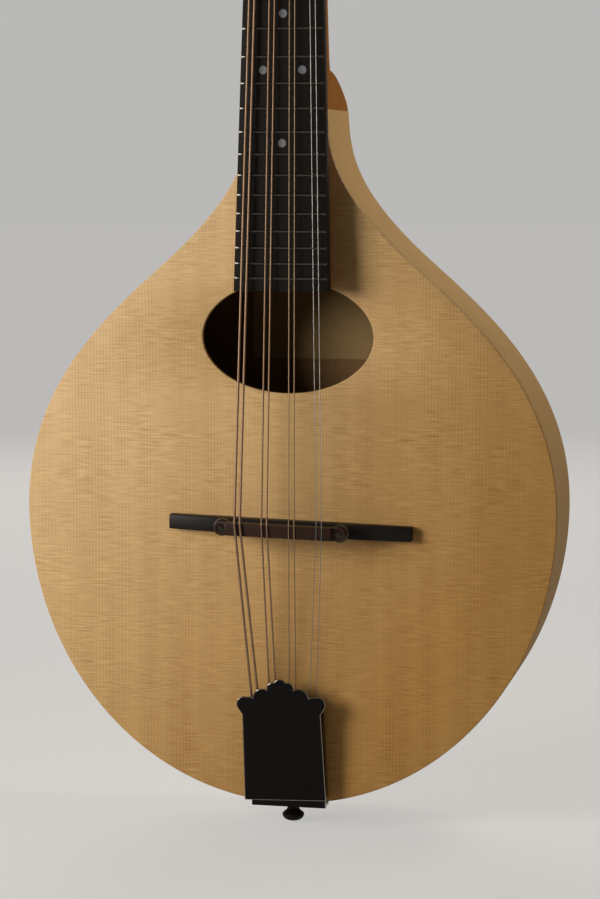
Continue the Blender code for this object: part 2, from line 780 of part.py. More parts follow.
def make_fretboard(neck_frame):
    nut_half, end_half = NUT_WIDTH / 2, BOARD_END_WIDTH / 2
    outline = [(-nut_half, 0.0), (nut_half, 0.0), (end_half, -BOARD_LENGTH), (-end_half, -BOARD_LENGTH)]
    board = place(plate("fretboard", [outline], 0.0, BOARD_THICKNESS), "ebony", neck_frame)
    bm = bmesh.new()
    half = FRET_WIDTH / 2
    profile = ((-half, 0.0004), (-half, -0.0001), (-half * 0.55, -FRET_HEIGHT * 0.85), (0.0, -FRET_HEIGHT))
    profile += tuple((-z, y) for z, y in reversed(profile[:3]))
    for number in range(1, FRET_COUNT + 1):
        z = fret_height(number)
        if z - FRET_WIDTH < -BOARD_LENGTH:
            break
        reach = board_half_width(z) - 0.0004
        ends = []
        for side in (-1, 1):
            ring = [bm.verts.new((side * (reach + min(y, 0.0) * 0.5), y, z + dz)) for dz, y in profile]
            ends.append(ring)
        for i in range(len(profile)):
            j = (i + 1) % len(profile)
            bm.faces.new((ends[0][i], ends[0][j], ends[1][j], ends[1][i]))
        bm.faces.new(ends[0])
        bm.faces.new(ends[1])
    join(board, helper(mesh_object("frets", bm), neck_frame))


def make_nut(neck_frame):
    half = NUT_WIDTH / 2
    front = -NUT_ABOVE_BOARD
    back = BOARD_THICKNESS
    slope = 0.0004
    rings = []
    for x in (-half, half):
        rings.append(
            [
                (x, front, GAP),
                (x, front + slope, NUT_LENGTH * 0.7),
                (x, front + 3 * slope, NUT_LENGTH),
                (x, back, NUT_LENGTH),
                (x, back, GAP),
            ]
        )
    place(loft("nut", rings), "bone", neck_frame)


def make_headstock_veneer(head_frame):
    veneer = slab("headstock_veneer", mirrored(head_half()), 0.0, VENEER_THICKNESS)
    place(veneer, "ebony", head_frame)
    for number, side, height in post_places():
        x = side * POST_FROM_CENTRE
        ends = (x, -BUSHING_HEIGHT, height), (x, VENEER_THICKNESS / 2, height)
        join(veneer, helper(rod(f"bushing_{number}", *ends, BUSHING_RADIUS, 10), head_frame))
        ends = (x, -0.01, height), (x, 0.01, height)
        cut(veneer, helper(rod(f"bushing_bore_{number}", *ends, POST_RADIUS + GAP, 10), head_frame))
    cut(veneer, helper(truss_pocket("veneer_pocket"), head_frame))


def make_truss_rod_cover(head_frame):
    low = HEAD_FLARE[0] / 4
    waist, top = TRUSS_COVER_LENGTH * 0.62, low + TRUSS_COVER_LENGTH
    half = [(TRUSS_COVER_HALF_WIDTH, low), (TRUSS_COVER_HALF_WIDTH, low + 0.0040)]
    for i in range(1, 7):
        t = i / 6
        ease = t * t * (3 - 2 * t)
        half.append((TRUSS_COVER_HALF_WIDTH * (1 - 0.62 * ease), low + 0.0040 + (waist - 0.0040) * t))
    half += [(TRUSS_COVER_HALF_WIDTH * 0.24, top - 0.0008), (0.0, top)]
    cover = plate("truss_rod_cover", [mirrored(half)], -GAP - TRUSS_COVER_THICKNESS, TRUSS_COVER_THICKNESS)
    place(cover, "ebony", head_frame)


# The tuners, drawn in the headstock's frame: +Y is into the wood and +Z is up its face

PLATE_FRONT = VENEER_THICKNESS + GAP + HEAD_THICKNESS + GAP
PLATE_BACK = PLATE_FRONT + PLATE_THICKNESS
WORM_Y = PLATE_BACK + GAP + WORM_PITCH_RADIUS + GEAR_ADDENDUM
GEAR_FRONT = WORM_Y - GEAR_THICKNESS / 2
WORM_DROP = GEAR_PITCH_RADIUS + WORM_PITCH_RADIUS
WORM_PITCH = 2 * math.pi * GEAR_PITCH_RADIUS / GEAR_TEETH
BEARING_OFFSET = (WORM_TURNS + 1.2) * WORM_PITCH / 2 + BEARING_THICKNESS / 2 + GAP


def gear_mesh():
    """A post with its toothed gear. A gap between two teeth faces the worm, and the teeth lean with its thread."""
    tip = GEAR_PITCH_RADIUS + GEAR_ADDENDUM
    root = GEAR_PITCH_RADIUS - GEAR_DEDENDUM
    pitch_angle = 2 * math.pi / GEAR_TEETH
    lean = math.asin(GEAR_THICKNESS / 2 / WORM_PITCH_RADIUS) / (2 * math.pi) * WORM_PITCH / GEAR_PITCH_RADIUS
    rings = []
    for y, twist in ((GEAR_FRONT, lean), (GEAR_FRONT + GEAR_THICKNESS, -lean)):
        ring = []
        for tooth in range(GEAR_TEETH):
            middle = -math.pi / 2 + pitch_angle * (tooth + 0.5) + twist
            for share, radius in ((-0.62, root), (-0.26, tip), (0.26, tip), (0.62, root)):
                angle = middle + share * TOOTH_SHARE * pitch_angle
                ring.append((radius * math.cos(angle), y, radius * math.sin(angle)))
        rings.append(ring)
    gear = helper(loft("gear_blank", rings))
    post = helper(rod("post_blank", (0, -POST_ABOVE_FACE, 0), (0, GEAR_FRONT + GEAR_THICKNESS / 2, 0), POST_RADIUS))
    screw = helper(
        rod("post_screw", (0, WORM_Y, 0), (0, GEAR_FRONT + GEAR_THICKNESS + 0.0014, 0), POST_RADIUS * 0.75, 8)
    )
    hole = helper(rod("string_hole", (-0.01, -0.0064, 0), (0.01, -0.0064, 0), 0.0008, 6))
    join(gear, post)
    join(gear, screw)
    cut(gear, hole)
    mesh = settled(gear)
    for used in (post, screw, hole):
        bpy.data.objects.remove(used)
    return mesh


def worm_mesh(side):
    """A worm and its button on one shaft. The thread's crest over the shaft's middle faces the gear."""
    core = WORM_PITCH_RADIUS - GEAR_ADDENDUM - 0.0003
    crest = WORM_PITCH_RADIUS + GEAR_ADDENDUM
    length = BEARING_OFFSET - BEARING_THICKNESS / 2 - GAP
    steps = 8
    count = int(WORM_TURNS * steps)
    rings = []
    for i in range(count + 1):
        turn = (i - count / 2) / steps
        angle = math.pi / 2 + 2 * math.pi * turn
        ring = []
        for share, radius in ((-0.72, core - 0.0002), (-0.26, crest), (0.26, crest), (0.72, core - 0.0002)):
            x = (turn + share * TOOTH_SHARE) * WORM_PITCH
            ring.append((x, radius * math.cos(angle), radius * math.sin(angle)))
        rings.append(ring)
    worm = helper(loft("thread_blank", rings))
    outside = HEAD_HALF_WIDTH - POST_FROM_CENTRE + BUTTON_CLEAR
    inner_end = BEARING_OFFSET + BEARING_THICKNESS / 2 + 0.0006
    stations = [(-inner_end, WORM_SHAFT_RADIUS, WORM_SHAFT_RADIUS), (-length, WORM_SHAFT_RADIUS, WORM_SHAFT_RADIUS)]
    stations += [(-length, core, core), (length, core, core), (length, WORM_SHAFT_RADIUS, WORM_SHAFT_RADIUS)]
    stations.append((outside, WORM_SHAFT_RADIUS, WORM_SHAFT_RADIUS))
    for share, width, depth in BUTTON_SHAPE:
        stations.append((outside + share * BUTTON_LENGTH, width * BUTTON_HALF_WIDTH, depth * BUTTON_HALF_DEPTH))
    rings = []
    for x, half_z, half_y in stations:
        angles = [2 * math.pi * (i + 0.5) / 9 for i in range(9)]
        rings.append([(side * x, half_y * math.sin(a), half_z * math.cos(a)) for a in angles])
    shaft = helper(loft("worm_shaft", rings))
    join(worm, shaft)
    mesh = settled(worm)
    bpy.data.objects.remove(shaft)
    return mesh


def make_tuner_plates(head_frame):
    for side, word in ((-1, "bass"), (1, "treble")):
        heights = [height for _, post_side, height in post_places() if post_side == side]
        low = min(heights) - PLATE_MARGIN
        high = max(heights) + PLATE_MARGIN - 0.0020
        x0, x1 = POST_FROM_CENTRE - 0.0075, POST_FROM_CENTRE - 0.0075 + PLATE_WIDTH
        radius = 0.0030
        outline = arc((x1 - radius, low + radius), radius, -math.pi / 2, 0, 3)
        outline += arc((x1 - radius, high - radius), radius, 0, math.pi / 2, 3)
        outline += arc((x0 + radius, high - radius), radius, math.pi / 2, math.pi, 3)
        outline += arc((x0 + radius, low + radius), radius, math.pi, 1.5 * math.pi, 3)
        name = f"tuner_plate_{word}"
        base = place(slab(name, side_of(outline, side), PLATE_FRONT, PLATE_THICKNESS), "nickel", head_frame)
        for i, height in enumerate(heights):
            x = side * POST_FROM_CENTRE
            ends = (x, PLATE_FRONT - 0.001, height), (x, PLATE_BACK + 0.001, height)
            cut(base, helper(rod(f"plate_hole_{word}_{i}", *ends, POST_RADIUS + GAP, 10), head_frame))
            worm_z = height - WORM_DROP
            for end in (-1, 1):
                x = side * POST_FROM_CENTRE + end * BEARING_OFFSET
                low_corner = (x - BEARING_THICKNESS / 2, PLATE_BACK - 0.0006, worm_z - 0.0023)
                high_corner = (x + BEARING_THICKNESS / 2, PLATE_BACK + BEARING_HEIGHT, worm_z + 0.0023)
                tab = box(f"bearing_{word}_{i}_{end}", low_corner, high_corner)
                join(base, helper(tab, head_frame))
            bore = rod(
                f"worm_bore_{word}_{i}",
                (side * POST_FROM_CENTRE - 0.0120, WORM_Y, worm_z),
                (side * POST_FROM_CENTRE + 0.0120, WORM_Y, worm_z),
                WORM_SHAFT_RADIUS + 0.0003,
                8,
            )
            cut(base, helper(bore, head_frame))


def make_tuners(head_frame):
    make_tuner_plates(head_frame)
    gear = gear_mesh()
    worms = {side: worm_mesh(side) for side in POST_SIDES}
    for number, side, height in post_places():
        x = side * POST_FROM_CENTRE
        post = bpy.data.objects.new(f"tuner_post_{number}", gear)
        place(post, "nickel", head_frame, Matrix.Translation((x, 0.0, height)))
        worm = bpy.data.objects.new(f"tuner_worm_{number}", worms[side])
        place(worm, "button", head_frame, Matrix.Translation((x, WORM_Y, height - WORM_DROP)))


# The bridge, drawn in its own turned frame: the soundboard is at Y = 0

WHEEL_BACK = -(BRIDGE_BASE_HEIGHT + GAP + WHEEL_ABOVE_BASE)
WHEEL_FRONT = WHEEL_BACK - WHEEL_THICKNESS
SADDLE_BACK = WHEEL_FRONT - GAP


def make_bridge(bridge_frame):
    half = BRIDGE_BASE_WIDTH / 2
    rings = []
    middle = SADDLE_POST_SPACING / 2 + WHEEL_RADIUS
    top, low_top = -BRIDGE_BASE_HEIGHT - GAP, -BRIDGE_END_HEIGHT - GAP
    stations = ((-BRIDGE_BASS_REACH, low_top), (-middle, top), (middle, top), (BRIDGE_TREBLE_REACH, low_top))
    for x, y in stations:
        rings.append([(x, -GAP, -half), (x, y, -half), (x, y, half), (x, -GAP, half)])
    base = place(loft("bridge_base", rings), "ebony", bridge_frame)
    saddle = place(make_saddle_blank(), "rosewood", bridge_frame)
    slope = box("saddle_slope", (-0.06, -0.01, -0.02), (0.06, 0.0, 0.0))
    fall = Matrix.Translation((0.0, -SADDLE_TOP, SADDLE_CREST)) @ Matrix.Rotation(SADDLE_SLOPE, 4, "X")
    cut(saddle, helper(slope, bridge_frame, fall))
    for side, word in ((-1, "bass"), (1, "treble")):
        x = side * SADDLE_POST_SPACING / 2
        foot = -GAP - 0.0015
        top_of_post = POST_BELOW_EAR_TOP - SADDLE_EAR_TOP
        place(rod(f"bridge_post_{word}", (x, foot, 0), (x, top_of_post, 0), BRIDGE_POST_RADIUS), "nickel", bridge_frame)
        bore = BRIDGE_POST_RADIUS + POST_HOLE_CLEARANCE
        base_hole = rod(f"base_hole_{word}", (x, foot + GAP, 0), (x, -0.05, 0), bore)
        cut(base, helper(base_hole, bridge_frame))
        ear_start, past_ear = x - side * SADDLE_EAR_INSIDE_POST, x + side * 2 * SADDLE_END_RADIUS
        low = (min(ear_start, past_ear), -2 * SADDLE_TOP, -2 * SADDLE_END_RADIUS)
        high = (max(ear_start, past_ear), -SADDLE_EAR_TOP, 2 * SADDLE_END_RADIUS)
        cut(saddle, helper(box(f"above_ear_{word}", low, high), bridge_frame))
        saddle_hole = rod(f"saddle_hole_{word}", (x, 0, 0), (x, -2 * SADDLE_TOP, 0), bore)
        cut(saddle, helper(saddle_hole, bridge_frame))
        wheel = plate(f"thumbwheel_{word}", [knurled_loop(), circle((0, 0), bore, 12)], WHEEL_FRONT, WHEEL_THICKNESS)
        place(wheel, "nickel", bridge_frame, Matrix.Translation((x, 0, 0)))


def knurled_loop():
    loop = []
    for i in range(2 * WHEEL_KNURLS):
        radius = WHEEL_RADIUS if i % 2 else WHEEL_RADIUS * 0.94
        angle = math.pi * i / WHEEL_KNURLS
        loop.append((radius * math.cos(angle), radius * math.sin(angle)))
    return loop


def make_saddle_blank():
    """A bar with a round ear around each post."""
    reach = SADDLE_POST_SPACING / 2
    meet = math.asin(SADDLE_WIDTH / 2 / SADDLE_END_RADIUS)
    outline = arc((reach, 0), SADDLE_END_RADIUS, -math.pi + meet, math.pi - meet, 14)
    outline += arc((-reach, 0), SADDLE_END_RADIUS, meet, 2 * math.pi - meet, 14)
    return plate("bridge_saddle", [outline], -SADDLE_TOP, SADDLE_TOP + SADDLE_BACK)


# The tailpiece and end pin

def cover_front(below):
    """Where the cover's outer face is, at a distance below the saddle line."""
    share = (COVER_END - below) / (COVER_END - COVER_TIP)
    return -(COVER_RISE_AT_END + (COVER_RISE_AT_TIP - COVER_RISE_AT_END) * share)


def lobe_crossing(first, second):
    """The outer point where two lobes of the cover meet."""
    a, b = Vector(first[:2]), Vector(second[:2])
    gap = b - a
    along = (gap.length_squared + first[2] ** 2 - second[2] ** 2) / (2 * gap.length)
    away = math.sqrt(first[2] ** 2 - along**2)
    step = gap.normalized()
    return a + step * along + Vector((-step.y, step.x)) * away


def cover_half():
    """The treble half of the cover's outline, from its foot up to its tip, as (x, z)."""
    lobes = [(x, -z, r) for x, z, r in COVER_LOBES]
    crossings = [lobe_crossing(a, b) for a, b in zip(lobes, lobes[1:])]
    ends = [Vector((0.0, lobes[0][1] + lobes[0][2]))] + crossings
    rim = []
    for (x, z, radius), start, last in zip(lobes, ends, crossings + [None]):
        first = math.atan2(start.y - z, start.x - x)
        end = math.radians(-40) if last is None else math.atan2(last.y - z, last.x - x)
        rim += arc((x, z), radius, first, end, 7 if last is None else 4)
    rim += [COVER_NECK[:1] + (-COVER_NECK[1],), (COVER_HALF_WIDTH[0], -COVER_NECK[1] - 0.0010)]
    rim.append((COVER_HALF_WIDTH[1], COVER_TIP - COVER_END))
    return [(x, z) for x, z in reversed(rim)]


def leaning(x, below):
    """Where a point of the tailpiece lies, as (x, z), after its lean."""
    height = TAILPIECE_PIVOT[1] - below
    c, s = math.cos(TAILPIECE_TURN), math.sin(TAILPIECE_TURN)
    return TAILPIECE_PIVOT[0] + x * c + height * s, SADDLE_Z - TAILPIECE_PIVOT[1] + height * c - x * s


def make_tailpiece(pin_hole):
    tilt = math.atan((COVER_RISE_AT_TIP - COVER_RISE_AT_END) / (COVER_END - COVER_TIP))
    lean = Matrix.Translation((TAILPIECE_PIVOT[0], 0.0, SADDLE_Z - TAILPIECE_PIVOT[1]))
    lean = lean @ Matrix.Rotation(TAILPIECE_TURN, 4, "Y")
    tip_above_pivot = TAILPIECE_PIVOT[1] - COVER_TIP
    seat = lean @ Matrix.Translation((0.0, -COVER_RISE_AT_TIP, tip_above_pivot)) @ Matrix.Rotation(tilt, 4, "X")
    cover_frame = frame("cover_frame", seat)
    tail_frame = frame("tail_frame", lean)
    cover = place(plate("tailpiece_cover", [mirrored(cover_half())], 0.0, COVER_THICKNESS), "black_nickel", cover_frame)
    top, foot = -COVER_NECK[1] - 0.0014, COVER_TIP - COVER_END
    for side in (-1, 1):
        rings = []
        for z, half, reach in (
            (top, COVER_HALF_WIDTH[0], COVER_RISE_AT_TIP - 0.0032),
            (foot, COVER_HALF_WIDTH[1], COVER_RISE_AT_END - 0.0010),
        ):
            outer, inner = side * (half - 0.00005), side * (half - COVER_THICKNESS)
            rings.append([(outer, 0.0003, z), (inner, 0.0003, z), (inner, reach, z), (outer, reach, z)])
        join(cover, helper(loft(f"cover_flange_{side}", rings), cover_frame))

    corner = TAIL_Z - GAP - BASE_THICKNESS
    front = -GAP - BASE_THICKNESS
    foot = leaning(0.0, SADDLE_Z - corner)[0]
    low_z = corner + BASE_THICKNESS / 2
    outline = [(foot - BASE_HALF_WIDTH, low_z), (foot + BASE_HALF_WIDTH, low_z)]
    outline += [leaning(BASE_HALF_WIDTH, BASE_START), leaning(-BASE_HALF_WIDTH, BASE_START)]
    base = place(slab("tailpiece_base", outline, front, BASE_THICKNESS), "black_nickel")
    tip = FLANGE_TIP_HALF_WIDTH
    edge = BASE_HALF_WIDTH - 0.00005
    flange = [(foot - edge, front), (foot + edge, front), (foot + edge, 0.0080)]
    flange += arc((0.0, FLANGE_REACH - tip), tip, 0.0, math.pi, 8) + [(foot - edge, 0.0080)]
    rings = [[(x, y, z) for x, y in flange] for z in (corner, corner + BASE_THICKNESS)]
    join(base, helper(loft("tail_flange", rings)))
    lip_top = TAILPIECE_PIVOT[1] - BASE_START - 0.0004
    lip_low = (-BASE_HALF_WIDTH + 0.0020, -LIP_HEIGHT, lip_top - LIP_LENGTH)
    lip_high = (BASE_HALF_WIDTH - 0.0020, front + 0.0006, lip_top)
    join(base, helper(box("string_lip", lip_low, lip_high), tail_frame))
    for number in range(1, 9):
        x = string_x(number)[2]
        z = SADDLE_Z - HOOKS_AT
        hook = rod(f"hook_{number}", (x, front + 0.0006, z), (x, -HOOK_HEIGHT, z - 0.0010), HOOK_RADIUS, 6)
        join(base, helper(hook))
    cut(base, pin_hole)


def make_end_pin():
    """A turned pin whose shank passes through the flange into the tail block."""
    seat = TAIL_Z - 2 * GAP - BASE_THICKNESS
    profile = [(0.0, -PIN_LENGTH_INSIDE), (PIN_SHANK_RADIUS * 0.9, -PIN_LENGTH_INSIDE), (PIN_SHANK_RADIUS, -0.0001)]
    profile += [(radius, depth) for depth, radius in PIN_PROFILE]
    profile.append((0.0, PIN_PROFILE[-1][0]))
    bm = bmesh.new()
    chain = [bm.verts.new((radius, 0.0, -depth)) for radius, depth in profile]
    for a, b in zip(chain, chain[1:]):
        bm.edges.new((a, b))
    mesh = bpy.data.meshes.new("end_pin")
    bm.to_mesh(mesh)
    bm.free()
    pin = bpy.data.objects.new("end_pin", mesh)
    place(pin, "ebony", None, Matrix.Translation((0.0, PIN_FROM_FRONT, seat)))
    turned = pin.modifiers.new("turned", "SCREW")
    turned.steps = turned.render_steps = 16
    turned.use_merge_vertices = True
    turned.merge_threshold = 1e-5


def string_x(number):
    """Where string 1 to 8 lies across the saddle, the nut and the tailpiece."""
    course, second = divmod(number - 1, 2)
    side = 1 if second else -1
    return (
        COURSES_AT_SADDLE[course] + side * PAIR_AT_SADDLE / 2,
        COURSES_AT_NUT[course] + side * PAIR_AT_NUT / 2,
        COURSES_AT_TAIL[course] + side * PAIR_AT_TAIL / 2,
    )


def make_strings(neck_matrix, head_matrix, bridge_matrix):
    for number, side, height in post_places():
        radius = COURSE_DIAMETERS[(number - 1) // 2] / 2
        at_saddle, at_nut, at_tail = string_x(number)
        clear = GAP + radius
        hook = (at_tail, -LIP_HEIGHT - clear + 0.0012, SADDLE_Z - HOOKS_AT + HOOK_RADIUS + GAP)
        lip_z = leaning(at_tail, BASE_START + LIP_LENGTH / 2 + 0.0004)[1]
        lip = (at_tail, -LIP_HEIGHT - clear, lip_z)
        rest = bridge_matrix @ Vector((at_saddle, -SADDLE_TOP - clear, SADDLE_CREST))
        nut_front = neck_matrix @ Vector((at_nut, -NUT_ABOVE_BOARD - clear, GAP))
        nut_back = neck_matrix @ Vector((at_nut, -NUT_ABOVE_BOARD - clear + 0.0003, NUT_LENGTH * 0.75))
        around = POST_RADIUS + GAP + radius
        pitch = 2 * radius + WRAP_GAP
        wrap = []
        for i in range(int(WRAP_TURNS * WRAP_STEPS) + 1):
            turn = i / WRAP_STEPS
            angle = 2 * math.pi * turn
            x = side * POST_FROM_CENTRE - side * around * math.cos(angle)
            z = height + around * math.sin(angle)
            wrap.append(head_matrix @ Vector((x, -WRAP_START - radius - pitch * turn, z)))
        finish = "bronze" if number <= 6 else "steel"
        place(tube(f"string_{number}", [hook, lip, rest, nut_front, nut_back] + wrap, radius), finish)


def build():
    neck_matrix = Matrix.Translation((0.0, -BOARD_RISE_AT_NUT, 0.0)) @ Matrix.Rotation(-NECK_TILT, 4, "X")
    head_local = Matrix.Translation((0.0, HEAD_BELOW_BOARD, HEAD_START)) @ Matrix.Rotation(-HEAD_ANGLE, 4, "X")
    neck_frame = frame("neck_frame", neck_matrix)
    head_frame = frame("head_frame", head_local, neck_frame)
    bridge_place = Matrix.Translation((0.0, 0.0, SADDLE_Z - BRIDGE_BELOW_SADDLE))
    bridge_matrix = bridge_place @ Matrix.Rotation(BRIDGE_TURN, 4, "Y")
    bridge_frame = frame("bridge_frame", bridge_matrix)

    inner = TAIL_Z + PIN_LENGTH_INSIDE + 0.0015
    outer = TAIL_Z - 0.0100
    pin_radius = PIN_SHANK_RADIUS + GAP
    pin_hole = helper(rod("pin_hole", (0, PIN_FROM_FRONT, outer), (0, PIN_FROM_FRONT, inner), pin_radius))
    depth_top = TOP_THICKNESS + 0.0040
    half = TENON_WIDTH / 2
    tenon_low = (-half, depth_top, JOINT_Z - TENON_LENGTH)
    tenon = helper(box("tenon", tenon_low, (half, depth_top + TENON_DEPTH, JOINT_Z + 0.0020)))
    slot_low = (-half - GAP, depth_top - GAP, JOINT_Z - TENON_LENGTH - GAP)
    tenon_hole = helper(box("tenon_hole", slot_low, (half + GAP, depth_top + TENON_DEPTH + GAP, JOINT_Z + 0.0100)))

    make_soundboard()
    make_back()
    make_ribs(pin_hole)
    make_linings()
    make_blocks(tenon_hole, pin_hole)
    make_braces()
    make_label()
    make_neck(neck_frame, head_frame, tenon)
    make_truss_rod(neck_frame)
    make_fretboard(neck_frame)
    make_nut(neck_frame)
    make_headstock_veneer(head_frame)
    make_truss_rod_cover(head_frame)
    make_tuners(head_frame)
    make_bridge(bridge_frame)
    make_tailpiece(pin_hole)
    make_end_pin()
    make_strings(neck_matrix, neck_matrix @ head_local, bridge_matrix)
    print(f"{len([o for o in PARTS.objects if o.type != 'EMPTY'])} pieces")


build()
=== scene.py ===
# %% [markdown]
# # A flat-top mandola
#
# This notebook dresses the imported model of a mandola: spruce top, maple sides, mahogany neck, black
# fretboard, nickel hardware and bronze-wound strings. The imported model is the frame. Each cell replaces a plain
# solid with a finer piece of the same size and place, or gives the solid itself a finish.
#
# The model is in metres. +Z runs up the neck, the soundboard faces -Y, and +X is the treble side. Z = 0 is the
# edge of the nut where the strings start to sound.

# %% Load the frame
import math

import bmesh
import bpy
from mathutils import Matrix, Vector


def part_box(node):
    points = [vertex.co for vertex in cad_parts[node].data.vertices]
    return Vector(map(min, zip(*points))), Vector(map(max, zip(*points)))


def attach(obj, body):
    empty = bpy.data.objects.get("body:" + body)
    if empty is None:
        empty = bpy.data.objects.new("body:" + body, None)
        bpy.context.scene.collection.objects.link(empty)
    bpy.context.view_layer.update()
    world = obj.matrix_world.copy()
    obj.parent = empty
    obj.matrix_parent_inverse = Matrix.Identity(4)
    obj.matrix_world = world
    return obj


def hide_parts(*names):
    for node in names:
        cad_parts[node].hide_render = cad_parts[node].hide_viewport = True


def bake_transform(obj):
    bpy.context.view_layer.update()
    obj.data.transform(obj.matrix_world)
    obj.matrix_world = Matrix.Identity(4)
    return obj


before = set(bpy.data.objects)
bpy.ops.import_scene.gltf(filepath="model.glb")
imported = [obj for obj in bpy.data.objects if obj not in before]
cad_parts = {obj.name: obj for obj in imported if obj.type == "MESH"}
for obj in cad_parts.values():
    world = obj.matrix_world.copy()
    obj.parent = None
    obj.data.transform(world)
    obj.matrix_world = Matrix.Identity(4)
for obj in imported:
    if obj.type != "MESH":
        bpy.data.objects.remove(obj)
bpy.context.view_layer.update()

# %% [markdown]
# The camera comes first, because every later choice is judged through it. Its place was worked out from the
# spacing of the frets, the outline of the body and the bridge: a long lens, a little above the soundhole and a
# little to the treble side, so that one rib shows.


# %% Camera
def new_object(name, data):
    made = bpy.data.objects.new(name, data)
    bpy.context.scene.collection.objects.link(made)
    return made


camera_data = bpy.data.cameras.new("camera")
camera_data.lens, camera_data.sensor_width = 104.18, 36.0
camera_data.clip_start, camera_data.clip_end = 0.05, 20.0
camera = new_object("camera", camera_data)
camera.location = (0.274546, -1.258848, -0.256522)
turn, tip, roll = (math.radians(degrees) for degrees in (12.023, 83.815, 0.072))
aim = Matrix.Rotation(turn, 4, "Z") @ Matrix.Rotation(tip, 4, "X") @ Matrix.Rotation(roll, 4, "Z")
camera.rotation_euler = aim.to_euler()
bpy.context.scene.camera = camera
print("lens:", camera_data.lens)

# %% [markdown]
# These are the sizes of the instrument that more than one piece needs. They repeat the sizes of the solids,
# because a finer piece has to lie exactly where its solid lies. GAP is the glue line between two pieces, and
# HAIR keeps two faces that touch from flickering.

# %% Sizes shared by the pieces
QUARTER = math.pi / 2
SIDES = ((-1, "bass"), (1, "treble"))
GAP, HAIR, TINY = 0.0003, 0.00004, 1e-5
SCALE_LENGTH = 0.4318
SADDLE_Z = -SCALE_LENGTH
JOINT_Z = SADDLE_Z + 0.2038
TAIL_Z = SADDLE_Z - 0.1441
BODY_DEPTH = 0.0586
TOP_THICKNESS, BACK_THICKNESS, RIB_THICKNESS = 0.0030, 0.0028, 0.0023
JOINT_HALF_WIDTH, JOINT_FLARE = 0.0193, math.radians(3.5)
BOARD_Y, BOARD_THICKNESS, BOARD_LENGTH = -0.0046, 0.0060, 0.3171
NUT_WIDTH, BOARD_END_WIDTH = 0.0310, 0.0476
NECK_SLOPE = 0.0340
HEAD_START, HEAD_SINK, HEAD_ANGLE = 0.0052, 0.0025, math.radians(13.0)
HEAD_LENGTH, HEAD_HALF_WIDTH, HEAD_THICKNESS = 0.1180, 0.0310, 0.0130
VENEER_THICKNESS, PLATE_THICKNESS = 0.0020, 0.0013
PLATE_BACK = VENEER_THICKNESS + HEAD_THICKNESS + 2 * GAP + PLATE_THICKNESS
POST_FROM_CENTRE, POST_RADIUS = 0.0195, 0.0030
FIRST_POST, POST_STEP = 0.0335, 0.0230
POSTS = [(i + 1, -1, FIRST_POST + POST_STEP * i) for i in range(4)]
POSTS += [(i + 5, 1, FIRST_POST + POST_STEP * (3 - i)) for i in range(4)]
NECK_PLACE = Matrix.Translation((0.0, BOARD_Y, 0.0)) @ Matrix.Rotation(-math.atan(NECK_SLOPE), 4, "X")
HEAD_PLACE = NECK_PLACE @ Matrix.Translation((0.0, HEAD_SINK, HEAD_START)) @ Matrix.Rotation(-HEAD_ANGLE, 4, "X")
BRIDGE_PLACE = Matrix.Translation((0.0, 0.0, SADDLE_Z - 0.0030)) @ Matrix.Rotation(math.radians(1.5), 4, "Y")
print("posts:", len(POSTS))

# %% [markdown]
# ## Wood
#
# Every wooden surface here is made by one shader group. It draws three things that real wood has: growth rings
# as bands across one axis, fibres as long thin streaks along another, and rays, the short bright dashes across
# the fibres that a quarter-sawn spruce top shows as silk. Each material turns the group's coordinates with a
# Mapping node, so that the third axis always lies along the fibres. A node tree could be clicked together by
# hand. Written as text it can be read from top to bottom, so the first cell has helpers that keep it short.


# %% Small helpers for node trees
def fill(tree, node, values):
    """Wires a socket to an input, or writes a plain value there."""
    for name, value in values.items():
        if isinstance(value, bpy.types.NodeSocket):
            tree.links.new(value, node.inputs[name])
        else:
            node.inputs[name].default_value = value
    return node


def add_node(tree, kind, inputs=None, **settings):
    node = tree.nodes.new(kind)
    for name, value in settings.items():
        setattr(node, name, value)
    return fill(tree, node, inputs or {})


def calculator(tree):
    """Gives a function that adds a Math node to this tree and returns its result."""

    def calc(operation, *values):
        return add_node(tree, "ShaderNodeMath", dict(enumerate(values)), operation=operation).outputs[0]

    return calc


def mix_colours(tree, factor, first, second, blend="MIX"):
    """The Mix node keeps its factor between 0 and 1. Its colour sockets are numbers 6, 7 and, going out, 2."""
    inputs = {"Factor": factor, 6: first, 7: second}
    return add_node(tree, "ShaderNodeMix", inputs, data_type="RGBA", blend_type=blend).outputs[2]


def open_group(name, tree_type, inputs, outputs):
    """A new node group. Each input is its name, its kind and, where it has one, its default."""
    tree = bpy.data.node_groups.new(name, tree_type)
    for label, kind, *default in inputs:
        socket = tree.interface.new_socket(name=label, in_out="INPUT", socket_type="NodeSocket" + kind)
        if default:
            socket.default_value = default[0]
    for label, kind in outputs:
        tree.interface.new_socket(name=label, in_out="OUTPUT", socket_type="NodeSocket" + kind)
    return tree, tree.nodes.new("NodeGroupInput").outputs, tree.nodes.new("NodeGroupOutput")


